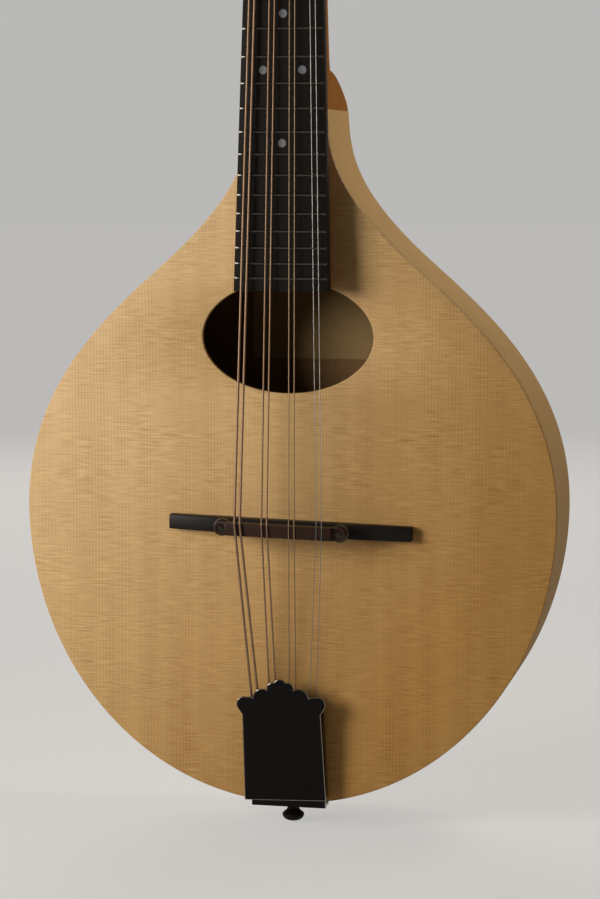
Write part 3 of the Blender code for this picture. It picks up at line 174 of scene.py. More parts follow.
# %% The wood figure group
def make_wood_figure():
    tree, given, leave = open_group(
        "wood figure",
        "ShaderNodeTree",
        (
            ("Coordinates", "Vector"),
            ("Early Wood", "Color", (0.6, 0.4, 0.2, 1.0)),
            ("Late Wood", "Color", (0.4, 0.25, 0.12, 1.0)),
            ("Ring Spacing", "Float", 0.0012),
            ("Ring Share", "Float", 0.3),
            ("Fibre Share", "Float", 0.3),
            ("Ray Share", "Float", 0.0),
            ("Tone Share", "Float", 0.3),
        ),
        (("Colour", "Color"), ("Height", "Float")),
    )
    calc = calculator(tree)

    def noise(scale, detail):
        """Stretched noise: the larger the number of an axis, the finer the pattern along it."""
        place = add_node(tree, "ShaderNodeMapping", {"Vector": given["Coordinates"], "Scale": scale})
        inputs = {"Vector": place.outputs[0], "Scale": 1.0, "Detail": detail}
        return add_node(tree, "ShaderNodeTexNoise", inputs).outputs[0]

    across = add_node(tree, "ShaderNodeSeparateXYZ", {"Vector": given["Coordinates"]}).outputs[0]
    sway = calc("MULTIPLY", calc("SUBTRACT", noise((7, 7, 1.6), 2.0), 0.5), 0.012)
    turns = calc("DIVIDE", calc("ADD", across, sway), given["Ring Spacing"])
    wave = calc("SINE", calc("MULTIPLY", turns, math.tau))
    ring = calc("POWER", calc("MULTIPLY_ADD", wave, 0.5, 0.5), 2.2)
    ring = calc("MULTIPLY", ring, calc("MULTIPLY_ADD", noise((120, 120, 2), 1.0), 1.4, -0.15))
    fibre = noise((1500, 1500, 26), 3.0)
    patches = calc("MULTIPLY_ADD", noise((34, 34, 55), 2.0), 2.6, -0.5)
    ray = calc("SUBTRACT", noise((110, 400, 1900), 1.5), noise((90, 300, 1100), 1.0))
    ray = calc("MULTIPLY", ray, patches)
    broad_tone = calc("MULTIPLY", noise((11, 11, 3.2), 3.0), 0.5)
    tone = calc("MULTIPLY_ADD", noise((80, 80, 4), 2.0), 0.5, broad_tone)
    level = calc("MULTIPLY_ADD", ring, given["Ring Share"], 0.25)
    for value, centre, share in ((fibre, 0.5, "Fibre Share"), (ray, 0.0, "Ray Share"), (tone, 0.5, "Tone Share")):
        swing = calc("MULTIPLY", calc("SUBTRACT", value, centre), 2.0)
        level = calc("MULTIPLY_ADD", swing, given[share], level)
    colour = mix_colours(tree, level, given["Early Wood"], given["Late Wood"])
    fill(tree, leave, {"Colour": colour, "Height": calc("MULTIPLY_ADD", ring, 0.5, fibre)})
    return tree


WOOD_FIGURE = make_wood_figure()
print("wood figure nodes:", len(WOOD_FIGURE.nodes))

# %% [markdown]
# Handling leaves its mark on any finish: a little unevenness in the gloss, and a slightly darker or lighter
# cloud here and there. One small group gives both, and each material sets how strong they are. The Principled
# shader stays in the material itself, where the values that are the same all over it are set on its sockets.


# %% The handling group and what every material needs
def make_handling():
    tree, given, leave = open_group(
        "handling",
        "ShaderNodeTree",
        (
            ("Colour", "Color", (0.5, 0.5, 0.5, 1.0)),
            ("Roughness", "Float", 0.4),
            ("Cloud Size", "Float", 0.03),
            ("Colour Change", "Float", 0.05),
            ("Gloss Change", "Float", 0.06),
        ),
        (("Colour", "Color"), ("Roughness", "Float")),
    )
    calc = calculator(tree)
    place = add_node(tree, "ShaderNodeTexCoord").outputs["Object"]
    coarse = calc("DIVIDE", 1.0, given["Cloud Size"])
    fine = calc("MULTIPLY", coarse, 7.0)
    cloud = add_node(tree, "ShaderNodeTexNoise", {"Vector": place, "Scale": coarse, "Detail": 4.0}).outputs[0]
    smear = add_node(tree, "ShaderNodeTexNoise", {"Vector": place, "Scale": fine}).outputs[0]
    change = calc("MULTIPLY", calc("SUBTRACT", cloud, 0.5), given["Colour Change"])
    value = calc("MULTIPLY_ADD", change, 2.0, 1.0)
    shaded = add_node(tree, "ShaderNodeHueSaturation", {"Color": given["Colour"], "Value": value}).outputs[0]
    gloss = calc("MULTIPLY", calc("SUBTRACT", smear, 0.5), given["Gloss Change"])
    fill(tree, leave, {"Colour": shaded, "Roughness": calc("ADD", given["Roughness"], gloss)})
    return tree


HANDLING = make_handling()


def handled(tree, colour, roughness, cloud=0.03, colour_change=0.05, gloss_change=0.06):
    """The colour and roughness of a surface once it has been handled."""
    inputs = {"Colour": colour, "Roughness": roughness, "Cloud Size": cloud}
    inputs |= {"Colour Change": colour_change, "Gloss Change": gloss_change}
    return add_node(tree, "ShaderNodeGroup", inputs, node_tree=HANDLING).outputs


def new_material(name, constants):
    made = bpy.data.materials.new(name)
    made.use_nodes = True
    tree = made.node_tree
    return made, tree, fill(tree, tree.nodes["Principled BSDF"], constants)


def bump(tree, height, strength, distance):
    inputs = {"Height": height, "Strength": strength, "Distance": distance}
    return add_node(tree, "ShaderNodeBump", inputs).outputs[0]


# %% [markdown]
# The woods differ in colour, in how close their rings lie and in how the board was sawn. The spruce of the top
# and the maple of the back are bookmatched: two sheets opened like a book, so the figure is mirrored about the
# centre line. An Absolute node on the coordinates does that. Over these sheets a second colour is multiplied
# along a slanting ramp, darker and more orange toward the treble side and the tail: painted shade for the light
# falling off across the top. The ribs are bent, so their fibres run round the body, and their figure changes
# most along Y. `shine` is how much light the surface mirrors: bare and oiled wood mirror very little.

# %% Wood materials
SHARE_NAMES = ("Ring Share", "Fibre Share", "Ray Share", "Tone Share")
# painted shade: the colour that the ramp multiplies over the bookmatched sheets, darkening them toward the treble
# side and the tail
PAINTED_SHADE_TINT = (0.84, 0.69, 0.43, 1.0)
SHADE_RAMP_UP, SHADE_RAMP_ACROSS, SHADE_RAMP_START = -3.4, 4.2, -1.02


def wood(name, early, late, spacing, shares, turn=(0, 0, 0), roughness=0.42, coat=0.0, shine=0.5, bookmatched_and_shaded=False):
    """shares are those of rings, fibres, rays and tone. turn brings the fibres onto the third axis."""
    constants = {"Coat Weight": coat, "Coat Roughness": 0.22, "Specular IOR Level": shine}
    made, tree, shader = new_material(name, constants)
    own_place = place = add_node(tree, "ShaderNodeTexCoord").outputs["Object"]
    if bookmatched_and_shaded:
        place = add_node(tree, "ShaderNodeVectorMath", {0: own_place}, operation="ABSOLUTE").outputs[0]
    turned = add_node(tree, "ShaderNodeMapping", {"Vector": place, "Rotation": turn})
    inputs = {"Coordinates": turned.outputs[0], "Early Wood": (*early, 1.0), "Late Wood": (*late, 1.0)}
    inputs |= {"Ring Spacing": spacing, **dict(zip(SHARE_NAMES, shares))}
    figure = add_node(tree, "ShaderNodeGroup", inputs, node_tree=WOOD_FIGURE).outputs
    colour = figure["Colour"]
    if bookmatched_and_shaded:
        calc = calculator(tree)
        x, _, z = add_node(tree, "ShaderNodeSeparateXYZ", {"Vector": own_place}).outputs
        # painted shade: this ramp along x and z multiplies the colour darker toward the treble side and the tail,
        # where the light falls off
        aged = calc("MULTIPLY_ADD", z, SHADE_RAMP_UP, calc("MULTIPLY_ADD", x, SHADE_RAMP_ACROSS, SHADE_RAMP_START))
        colour = mix_colours(tree, aged, colour, PAINTED_SHADE_TINT, "MULTIPLY")
    surface = handled(tree, colour, roughness, gloss_change=0.08)
    normal = bump(tree, figure["Height"], 0.35, 0.00006)
    fill(tree, shader, {"Base Color": surface["Colour"], "Roughness": surface["Roughness"], "Normal": normal})
    return made


ACROSS = (0, QUARTER, 0)
ROUND_THE_BODY = (0, 0, QUARTER)
BARE_WOOD = ((0.23, 0.132, 0.058), (0.15, 0.080, 0.032), 0.0018, (0.30, 0.30, 0.10, 0.25))
SPRUCE = wood(
    "satin spruce", (0.64, 0.430, 0.200), (0.40, 0.220, 0.076), 0.00165, (0.40, 0.12, 0.60, 0.60),
    roughness=0.5, shine=0.28, bookmatched_and_shaded=True,
)
MAPLE_RIB = wood(
    "maple of the ribs", (0.60, 0.39, 0.175), (0.42, 0.255, 0.100), 0.0060, (0.16, 0.20, 0.10, 0.20),
    ROUND_THE_BODY, roughness=0.65, shine=0.06,
)
MAPLE_BACK = wood(
    "maple of the back", (0.60, 0.41, 0.22), (0.40, 0.24, 0.11), 0.0042, (0.22, 0.20, 0.40, 0.30),
    coat=0.15, bookmatched_and_shaded=True,
)
MAHOGANY = wood(
    "mahogany of the neck", (0.35, 0.138, 0.027), (0.19, 0.064, 0.010), 0.0050, (0.20, 0.42, 0.05, 0.20),
    roughness=0.65, shine=0.04,
)
INSIDE = wood("bare wood inside", *BARE_WOOD, roughness=0.72, shine=0.08)
CROSSWISE = wood("bare wood across", *BARE_WOOD, ACROSS, roughness=0.72, shine=0.08)
EBONY = wood(
    "oiled ebony", (0.0105, 0.0080, 0.0058), (0.0045, 0.0035, 0.0028), 0.0030, (0.20, 0.50, 0.0, 0.25),
    roughness=0.5, shine=0.07,
)
EBONY_BRIDGE = wood(
    "ebony of the bridge", (0.0120, 0.0088, 0.0074), (0.0045, 0.0035, 0.0030), 0.0025, (0.20, 0.50, 0.0, 0.25),
    ACROSS, shine=0.12,
)
ROSEWOOD = wood(
    "rosewood of the saddle", (0.036, 0.016, 0.009), (0.012, 0.006, 0.004), 0.0016, (0.45, 0.50, 0.0, 0.30),
    ACROSS, shine=0.15,
)
print("woods:", [made.name for made in bpy.data.materials])

# %% [markdown]
# ## Metal, bone, pearl and paper
#
# Plated metal is a plain metallic surface whose gloss is broken by fine polishing lines. Nickel starts bright
# and goes dull with age, as on the bridge wheels. Fret wire is polished across the neck. The tailpiece cover is
# a much darker mirror, and where its thin plate is cut or folded the edge has worn brighter.


# %% Metal materials
def metal(name, colour, roughness, scratch=0.06, along=(9000, 9000, 60)):
    made, tree, shader = new_material(name, {"Metallic": 1.0})
    place = add_node(tree, "ShaderNodeTexCoord").outputs["Object"]
    lines = add_node(tree, "ShaderNodeMapping", {"Vector": place, "Scale": along}).outputs[0]
    scratches = add_node(tree, "ShaderNodeTexNoise", {"Vector": lines, "Scale": 1.0, "Detail": 2.0}).outputs[0]
    surface = handled(tree, (*colour, 1.0), roughness, 0.012, 0.06, 0.05)
    worn = calculator(tree)("MULTIPLY_ADD", scratches, scratch, surface["Roughness"])
    normal = bump(tree, scratches, 0.04, 0.00002)
    fill(tree, shader, {"Base Color": surface["Colour"], "Roughness": worn, "Normal": normal})
    return made


NICKEL = metal("polished nickel", (0.62, 0.60, 0.56), 0.14)
FRET_NICKEL = metal("fret wire", (0.080, 0.072, 0.060), 0.24, along=(60, 9000, 9000))
AGED_NICKEL = metal("aged nickel", (0.062, 0.053, 0.044), 0.16)
DARK_NICKEL = metal("dark mirror plate", (0.0120, 0.0113, 0.0102), 0.03, scratch=0.02)
THIN_PLATE = metal("thin plate on an edge", (0.22, 0.20, 0.165), 0.16)
STEEL = metal("drawn steel", (0.23, 0.22, 0.21), 0.26)

# %% [markdown]
# A wound string is a steel core with a bronze wire wrapped round it, turn against turn. The turns are far too
# fine to model, so the piece keeps a UV map in metres, U along the string, and the material raises a ridge for
# each turn with a sine of U. The same sine darkens the colour in the hollow between turns: painted shade.


# %% String materials
def wound(name, colour, turn_width):
    made, tree, shader = new_material(name, {"Metallic": 1.0})
    calc = calculator(tree)
    strand = add_node(tree, "ShaderNodeUVMap", uv_map="strand").outputs[0]
    along, about, _ = add_node(tree, "ShaderNodeSeparateXYZ", {"Vector": strand}).outputs
    ridge = calc("SINE", calc("MULTIPLY", calc("MULTIPLY_ADD", about, turn_width, along), math.tau / turn_width))
    # painted shade: the colour's value drops to 0.72 in the hollow between turns
    groove_shade = calc("MULTIPLY_ADD", ridge, 0.14, 0.86)
    surface = handled(tree, (*colour, 1.0), 0.48, 0.02, 0.06, 0.05)
    inputs = {"Color": surface["Colour"], "Value": groove_shade}
    shaded = add_node(tree, "ShaderNodeHueSaturation", inputs).outputs[0]
    normal = bump(tree, ridge, 0.25, 0.00003)
    fill(tree, shader, {"Base Color": shaded, "Roughness": surface["Roughness"], "Normal": normal})
    return made


WOUND_HEAVY = wound("bronze winding", (0.25, 0.158, 0.100), 0.00034)
WOUND_LIGHT = wound("fine bronze winding", (0.27, 0.185, 0.112), 0.00022)

# %% [markdown]
# Bone, pearl, paper and the cast buttons are no metals. Up close each is two close colours in soft clouds, so
# one function makes them all. A little light enters bone and buttons, which is what the subsurface weight says.


# %% Bone, pearl, paper and button
def smooth_finish(name, colour, other, size, roughness, coat=0.0, subsurface=0.0):
    depth = (0.002, 0.0015, 0.001)
    constants = {"Coat Weight": coat, "Subsurface Weight": subsurface, "Subsurface Radius": depth}
    made, tree, shader = new_material(name, constants)
    place = add_node(tree, "ShaderNodeTexCoord").outputs["Object"]
    inputs = {"Vector": place, "Scale": 1.0 / size, "Detail": 3.0, "Distortion": 1.2}
    cloud = add_node(tree, "ShaderNodeTexNoise", inputs).outputs[0]
    surface = handled(tree, mix_colours(tree, cloud, (*colour, 1.0), (*other, 1.0)), roughness, 2 * size)
    normal = bump(tree, cloud, 0.10, 0.00004)
    fill(tree, shader, {"Base Color": surface["Colour"], "Roughness": surface["Roughness"], "Normal": normal})
    return made


BONE = smooth_finish("polished bone", (0.78, 0.72, 0.58), (0.66, 0.58, 0.43), 0.004, 0.30, subsurface=0.15)
PEARL = smooth_finish("grey pearl", (0.24, 0.25, 0.27), (0.10, 0.10, 0.12), 0.0016, 0.22, coat=0.4)
PAPER = smooth_finish("plain label paper", (0.30, 0.190, 0.072), (0.25, 0.155, 0.054), 0.006, 0.85)
BUTTON = smooth_finish("cast button", (0.74, 0.68, 0.54), (0.60, 0.52, 0.38), 0.006, 0.24, 0.3, 0.1)
print("materials:", len(bpy.data.materials))

# %% [markdown]
# ## Making pieces
#
# Each helper below builds a kind of shape. A plate is drawn as a flat curve, because a curve gives it holes and
# rounded edges by itself. A loft joins rings of points, and a lathe is a loft whose rings are circles. Last,
# `finish_piece` gives a piece its material and the body that it moves with, and hides the solid that it stands for.


# %% Finishing a piece
def finish_piece(obj, material, body, node, angle=35):
    mesh = obj.data
    mesh.materials.clear()
    mesh.materials.append(material)
    mesh.shade_smooth()
    mesh.set_sharp_from_angle(angle=math.radians(angle))
    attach(obj, body)
    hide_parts(node)
    return obj


def finish_solids(nodes, material):
    """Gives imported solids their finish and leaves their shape."""
    for node in nodes:
        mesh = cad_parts[node].data
        mesh.materials.clear()
        mesh.materials.append(material)


def settle(obj):
    """Applies the modifiers: the evaluated mesh becomes the piece's own."""
    bpy.context.view_layer.update()
    graph = bpy.context.evaluated_depsgraph_get()
    mesh = bpy.data.meshes.new_from_object(obj.evaluated_get(graph))
    mesh.name = name = obj.name
    bpy.data.objects.remove(obj)
    return new_object(name, mesh)


def soften(obj, width, segments=2, angle=35):
    """Bevels the sharp edges of a piece and settles it."""
    step = obj.modifiers.new("softened edges", "BEVEL")
    step.width = width
    step.segments = segments
    step.limit_method = "ANGLE"
    step.angle_limit = math.radians(angle)
    return settle(obj)


def object_from(name, bm, place=None):
    bmesh.ops.remove_doubles(bm, verts=bm.verts, dist=1e-6)
    bmesh.ops.recalc_face_normals(bm, faces=bm.faces)
    bmesh.ops.transform(bm, matrix=place or Matrix(), verts=bm.verts)
    mesh = bpy.data.meshes.new(name)
    bm.to_mesh(mesh)
    bm.free()
    return new_object(name, mesh)


def refined_solid(node, name, width, angle):
    """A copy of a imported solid: its loose triangles merged, flat faces dissolved and edges softened."""
    bm = bmesh.new()
    bm.from_mesh(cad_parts[node].data)
    bmesh.ops.remove_doubles(bm, verts=bm.verts, dist=TINY)
    bmesh.ops.dissolve_limit(bm, angle_limit=math.radians(0.5), verts=bm.verts, edges=bm.edges)
    return soften(object_from(name, bm), width, angle=angle)


# %% Plates, lofts and turned pieces
def around(steps):
    """Angles spaced evenly round a circle."""
    return [math.tau * i / steps for i in range(steps)]


def arc(centre, radius, start, end, steps):
    angles = [start + (end - start) * i / steps for i in range(steps + 1)]
    return [(centre[0] + radius * math.cos(a), centre[1] + radius * math.sin(a)) for a in angles]


def circle(centre, radius, steps=32):
    return [(centre[0] + radius * math.cos(a), centre[1] + radius * math.sin(a)) for a in around(steps)]


def ease(t):
    """Starts and ends gently: 0 at 0, 1 at 1."""
    return t * t * (3 - 2 * t)


def mirrored(half):
    return [(x, z) for x, z in half] + [(-x, z) for x, z in reversed(half) if x > 1e-6]


def add_spline(curve, points):
    spline = curve.splines.new("POLY")
    spline.points.add(len(points) - 1)
    for point, spot in zip(spline.points, points):
        point.co = (*spot, 1.0)
    return spline


def rounded_plate(name, loops, y_front, thickness, edge, place=None):
    """A flat piece with softened edges. Each loop is a list of (x, z): the outline first, then its holes."""
    curve = bpy.data.curves.new(name, "CURVE")
    curve.dimensions, curve.fill_mode = "2D", "BOTH"
    curve.extrude = thickness / 2 - edge
    curve.bevel_depth, curve.bevel_resolution = edge, 2
    curve.offset = -edge
    for loop in loops:
        add_spline(curve, [(x, z, 0.0) for x, z in loop]).use_cyclic_u = True
    drawn = settle(new_object(name, curve))
    bm = bmesh.new()
    bm.from_mesh(drawn.data)
    bpy.data.objects.remove(drawn)
    upright = Matrix.Translation((0.0, y_front + thickness / 2, 0.0)) @ Matrix.Rotation(QUARTER, 4, "X")
    return object_from(name, bm, (place or Matrix()) @ upright)


def loft(name, rings, place=None):
    bm = bmesh.new()
    rows = [[bm.verts.new(point) for point in ring] for ring in rings]
    for row, after in zip(rows, rows[1:]):
        for i in range(len(row)):
            j = (i + 1) % len(row)
            bm.faces.new((row[i], row[j], after[j], after[i]))
    bm.faces.new(rows[0])
    bm.faces.new(rows[-1])
    return object_from(name, bm, place)


def lathe(name, profile, place=None, steps=48):
    """A turned piece: the profile is (radius, distance along the axis), and the axis is +Y of its place."""
    rings = []
    for radius, along in profile:
        radius = max(radius, TINY)
        rings.append([(radius * math.cos(a), along, radius * math.sin(a)) for a in around(steps)])
    return loft(name, rings, place)


# %% [markdown]
# Geometry Nodes make what repeats or follows a path. The first tree sets a copy of one small piece on each point
# of a mesh. Each point carries the turn and the scale of its copy as attributes. The tree makes the copies real,
# because the export leaves instances out, and gives them their material. Screws, bushings, position dots and
# side dots all use it.


# %% The tree that repeats a small piece
def end_tree(tree, geometry, finish, leave):
    """Every tree ends alike: what it made becomes real mesh and gets its material."""
    real = add_node(tree, "GeometryNodeRealizeInstances", {"Geometry": geometry}).outputs[0]
    done = add_node(tree, "GeometryNodeSetMaterial", {"Geometry": real, "Material": finish}).outputs[0]
    fill(tree, leave, {0: done})
    return tree


def set_copies(tree, points, piece, inputs):
    info = add_node(tree, "GeometryNodeObjectInfo", {"Object": piece, "As Instance": True})
    inputs = {"Points": points, "Instance": info.outputs["Geometry"], **inputs}
    return add_node(tree, "GeometryNodeInstanceOnPoints", inputs).outputs[0]


def make_repeat_tree():
    tree, given, leave = open_group(
        "repeat on points",
        "GeometryNodeTree",
        (("Geometry", "Geometry"), ("Piece", "Object"), ("Size", "Float", 1.0), ("Finish", "Material")),
        (("Geometry", "Geometry"),),
    )
    named = "GeometryNodeInputNamedAttribute"
    turn = add_node(tree, named, {"Name": "turn"}, data_type="FLOAT_VECTOR").outputs[0]
    scale = add_node(tree, named, {"Name": "scale"}, data_type="FLOAT").outputs[0]
    size = calculator(tree)("MULTIPLY", scale, given["Size"])
    copies = set_copies(tree, given["Geometry"], given["Piece"], {"Rotation": turn, "Scale": size})
    return end_tree(tree, copies, given["Finish"], leave)


REPEAT = make_repeat_tree()


def run_tree(obj, tree, values):
    """Adds a Geometry Nodes modifier, sets its inputs by identifier and settles the result."""
    step = obj.modifiers.new(tree.name, "NODES")
    step.node_group = tree
    for item in tree.interface.items_tree:
        if item.in_out == "INPUT" and item.name in values:
            step[item.identifier] = values[item.name]
    return settle(obj)


def repeat(name, piece, spots, material, place, node, turns=None, scales=None):
    """Sets the small piece on each spot. The piece itself is removed afterwards."""
    mesh = bpy.data.meshes.new(name)
    mesh.from_pydata(spots, [], [])
    flat = [angle for turn in turns or [(0, 0, 0)] * len(spots) for angle in turn]
    mesh.attributes.new("turn", "FLOAT_VECTOR", "POINT").data.foreach_set("vector", flat)
    mesh.attributes.new("scale", "FLOAT", "POINT").data.foreach_set("value", scales or [1.0] * len(spots))
    made = run_tree(new_object(name, mesh), REPEAT, {"Piece": piece, "Finish": material})
    bpy.data.objects.remove(piece)
    made.data.transform(place)
    print(name, len(spots))
    return finish_piece(made, material, "body", node)


# %% [markdown]
# The second tree sweeps a ring along a path to make a wire. Before the sweep it stores the distance along the
# path and the place round the ring on the points, and afterwards it writes both to the UV map that the string
# materials read. A curve's own bevel would make the same tube, but without a map in metres.


# %% The tree that sweeps a wire along a path
def make_wire_tree():
    tree, given, leave = open_group(
        "wire along a path",
        "GeometryNodeTree",
        (("Geometry", "Geometry"), ("Radius", "Float", 0.0005), ("Sides", "Int", 12), ("Finish", "Material")),
        (("Geometry", "Geometry"),),
    )

    def keep(geometry, name, value):
        node = add_node(tree, "GeometryNodeCaptureAttribute", domain="POINT")
        node.capture_items.new("FLOAT", name)
        return fill(tree, node, {"Geometry": geometry, name: value}).outputs

    inputs = {"Resolution": given["Sides"], "Radius": given["Radius"]}
    ring = add_node(tree, "GeometryNodeCurvePrimitiveCircle", inputs)
    spline = add_node(tree, "GeometryNodeSplineParameter").outputs
    path = keep(given["Geometry"], "along", spline["Length"])
    rim = keep(ring.outputs["Curve"], "about", spline["Factor"])
    inputs = {"Curve": path["Geometry"], "Profile Curve": rim["Geometry"], "Fill Caps": True}
    swept = add_node(tree, "GeometryNodeCurveToMesh", inputs).outputs[0]
    pair = add_node(tree, "ShaderNodeCombineXYZ", {"X": path["along"], "Y": rim["about"]}).outputs[0]
    inputs = {"Geometry": swept, "Name": "strand", "Value": pair}
    kind = "GeometryNodeStoreNamedAttribute"
    mapped = add_node(tree, kind, inputs, data_type="FLOAT2", domain="CORNER").outputs[0]
    return end_tree(tree, mapped, given["Finish"], leave)


WIRE = make_wire_tree()


def wire(name, points, radius, material, sides=12):
    """A wire piece along the given points, not yet on a body."""
    curve = bpy.data.curves.new(name, "CURVE")
    curve.dimensions = "3D"
    add_spline(curve, points)
    made = run_tree(new_object(name, curve), WIRE, {"Radius": radius, "Sides": sides, "Finish": material})
    made.data.materials.clear()
    made.data.materials.append(material)
    made.data.shade_smooth()
    return made


# %% [markdown]
# ## The body
#
# The outline is a half ellipse below and two flowing curves above, mirrored about the centre line. The top and
# back are flat sheets cut to that outline, with their edges eased with sandpaper. The two ribs are bent strips
# between them. Here the same curves are drawn with many more points than in the solids.

# %% The body's outline
HALF_WIDTH, WIDEST_Z = 0.1349, SADDLE_Z + 0.0047
BOUT_END, BOUT_SLOPE = Vector((0.0628, SADDLE_Z + 0.1280)), math.radians(48.4)
BOUT_RISE, BOUT_REACH, SHOULDER_REACH, JOINT_REACH = 0.0620, 0.0395, 0.0560, 0.0200


def bezier(points, steps):
    a, b, c, d = (Vector(p) for p in points)
    shares = [i / steps for i in range(1, steps + 1)]
    return [(1 - t) ** 3 * a + 3 * (1 - t) ** 2 * t * b + 3 * (1 - t) * t * t * c + t**3 * d for t in shares]


def half_outline():
    along = Vector((-math.sin(BOUT_SLOPE), math.cos(BOUT_SLOPE)))
    angles = [QUARTER * i / 64 for i in range(65)]
    below = WIDEST_Z - TAIL_Z
    lower = [Vector((HALF_WIDTH * math.sin(a), WIDEST_Z - below * math.cos(a))) for a in angles]
    rise = (HALF_WIDTH, WIDEST_Z + BOUT_RISE)
    bout = bezier(((HALF_WIDTH, WIDEST_Z), rise, BOUT_END - BOUT_REACH * along, BOUT_END), 40)
    joint = Vector((JOINT_HALF_WIDTH, JOINT_Z))
    below_joint = joint + JOINT_REACH * Vector((math.sin(JOINT_FLARE), -math.cos(JOINT_FLARE)))
    return lower + bout + bezier((BOUT_END, BOUT_END + SHOULDER_REACH * along, below_joint, joint), 40)


def inset_half(inset):
    """The half outline moved inward by the same distance all along."""
    points = half_outline()
    pairs = zip(points[:1] + points, points[1:] + points[-1:])
    alongs = [(after - before).normalized() for before, after in pairs]
    alongs[0] = Vector((1.0, 0.0))
    return [point + inset * Vector((-along.y, along.x)) for point, along in zip(points, alongs)]


OUTLINE = mirrored(half_outline())
print("outline points:", len(OUTLINE))

# %% [markdown]
# The top and back are plates with a small rounded edge. The back's inner face is bare wood, so its faces that
# look forward get a second material. A rib is a loft of many thin four-cornered sections, one for each point of
# the outline.

# %% Soundboard, back and ribs
HOLE_CENTRE, HOLE_HALF_WIDTH, HOLE_HALF_HEIGHT = SADDLE_Z + 0.0917, 0.0433, 0.0280
HOLE = [(HOLE_HALF_WIDTH * math.cos(a), HOLE_CENTRE + HOLE_HALF_HEIGHT * math.sin(a)) for a in around(128)]
top = rounded_plate("soundboard_top", [OUTLINE, HOLE], 0.0, TOP_THICKNESS, 0.0006)
finish_piece(top, SPRUCE, "body", "soundboard")
back = rounded_plate("back_sheet", [OUTLINE], BODY_DEPTH - BACK_THICKNESS, BACK_THICKNESS, 0.0007)
finish_piece(back, MAPLE_BACK, "body", "back_plate")
back.data.materials.append(INSIDE)
for face in back.data.polygons:
    face.material_index = 1 if face.normal.y < -0.9 else 0
print("back faces inside:", sum(face.material_index for face in back.data.polygons))


def bent_rib(name, side):
    front, rear = TOP_THICKNESS + HAIR / 2, BODY_DEPTH - BACK_THICKNESS - HAIR / 2
    rings = []
    for p, q in zip(half_outline(), inset_half(RIB_THICKNESS)):
        outer, inner = side * max(p.x, GAP / 2), side * max(q.x, GAP / 2)
        rings.append([(outer, front, p.y), (outer, rear, p.y), (inner, rear, q.y), (inner, front, q.y)])
    return loft(name, rings)


for side, word in SIDES:
    finish_piece(bent_rib(f"bent_rib_{word}", side), MAPLE_RIB, "body", f"rib_{word}", 50)

# %% [markdown]
# Inside, the blocks, kerfed linings and braces are seen only through the soundhole. Their solids already have
# the right shape, so they only get bare wood. The fibres of a cross brace run across the body, those of the tone
# bars and blocks along it.

# %% The inside
finish_solids(("neck_block", "tail_block", "tone_bar_bass", "tone_bar_treble"), INSIDE)
finish_solids([f"lining_{sheet}_{word}" for sheet in ("top", "back") for _, word in SIDES], INSIDE)
finish_solids(("upper_cross_brace", "lower_cross_brace"), CROSSWISE)
finish_solids([f"back_brace_{place}" for place in ("upper", "middle", "lower")], CROSSWISE)
finish_solids(["truss_rod"], STEEL)

# %% [markdown]
# The paper label inside is glued to the back. It is left plain. A sheet of paper glued by hand is never quite
# flat, so the grid below lifts a little toward its corners, and Solidify gives it the thickness of paper.

# %% Label
LABEL_COLUMNS, LABEL_ROWS = 24, 16
EDGE_LIFT, RIPPLE, GLUE = 0.00018, 0.00004, 0.0001


def paper_label():
    low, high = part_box("label")
    bm = bmesh.new()
    grid = []
    for u in [i / LABEL_COLUMNS for i in range(LABEL_COLUMNS + 1)]:
        line = []
        for v in [j / LABEL_ROWS for j in range(LABEL_ROWS + 1)]:
            lift = EDGE_LIFT * (abs(2 * u - 1) ** 6 + abs(2 * v - 1) ** 6)
            lift += RIPPLE * math.sin(9 * u) * math.sin(7 * v)
            x, z = low.x + (high.x - low.x) * u, low.z + (high.z - low.z) * v
            line.append(bm.verts.new((x, high.y - GLUE - lift, z)))
        grid.append(line)
    for line, after in zip(grid, grid[1:]):
        for j in range(LABEL_ROWS):
            bm.faces.new((line[j], after[j], after[j + 1], line[j + 1]))
    obj = object_from("paper_label", bm)
    wall = obj.modifiers.new("paper", "SOLIDIFY")
    wall.thickness, wall.offset = 0.00012, 0.0
    return settle(obj)


finish_piece(paper_label(), PAPER, "body", "label")

# %% [markdown]
# ## The neck
#
# The neck is one piece of mahogany: a round-backed shaft that flares into the heel, a wedge that carries the
# fretboard over the top, and the headstock, tilted back. Each part is a loft or a plate of its own here, because
# a carved surface follows its sections best that way. A section is half of a rounded square, and squareness says
# how square it is: 2 is a round back, and the heel gets nearly flat sides.

# %% Neck shaft and heel
SHAFT_SQUARENESS, SHAFT_DEPTH, SHAFT_GROWTH = 2.3, 0.0210, 0.0030
HEEL_LENGTH, HEEL_ROUND, HEEL_START, BOARD_LEDGE = 0.0190, 1.4, 0.0060, 0.0002


def board_front(z):
    return BOARD_Y + NECK_SLOPE * z


def board_half_width(z):
    return NUT_WIDTH / 2 - (BOARD_END_WIDTH - NUT_WIDTH) / 2 * z / BOARD_LENGTH


def neck_section(z, half_width, y_front, y_back, squareness):
    ring = []
    for a in [math.pi * i / 48 for i in range(49)]:
        c, s = math.cos(a), max(math.sin(a), 0.0)
        x = math.copysign(abs(c) ** (2 / squareness), c) * half_width
        ring.append((x, y_front + (y_back - y_front) * s ** (2 / squareness), z))
    return ring + [(half_width * (i / 6 - 1), y_front, z) for i in range(1, 12)]


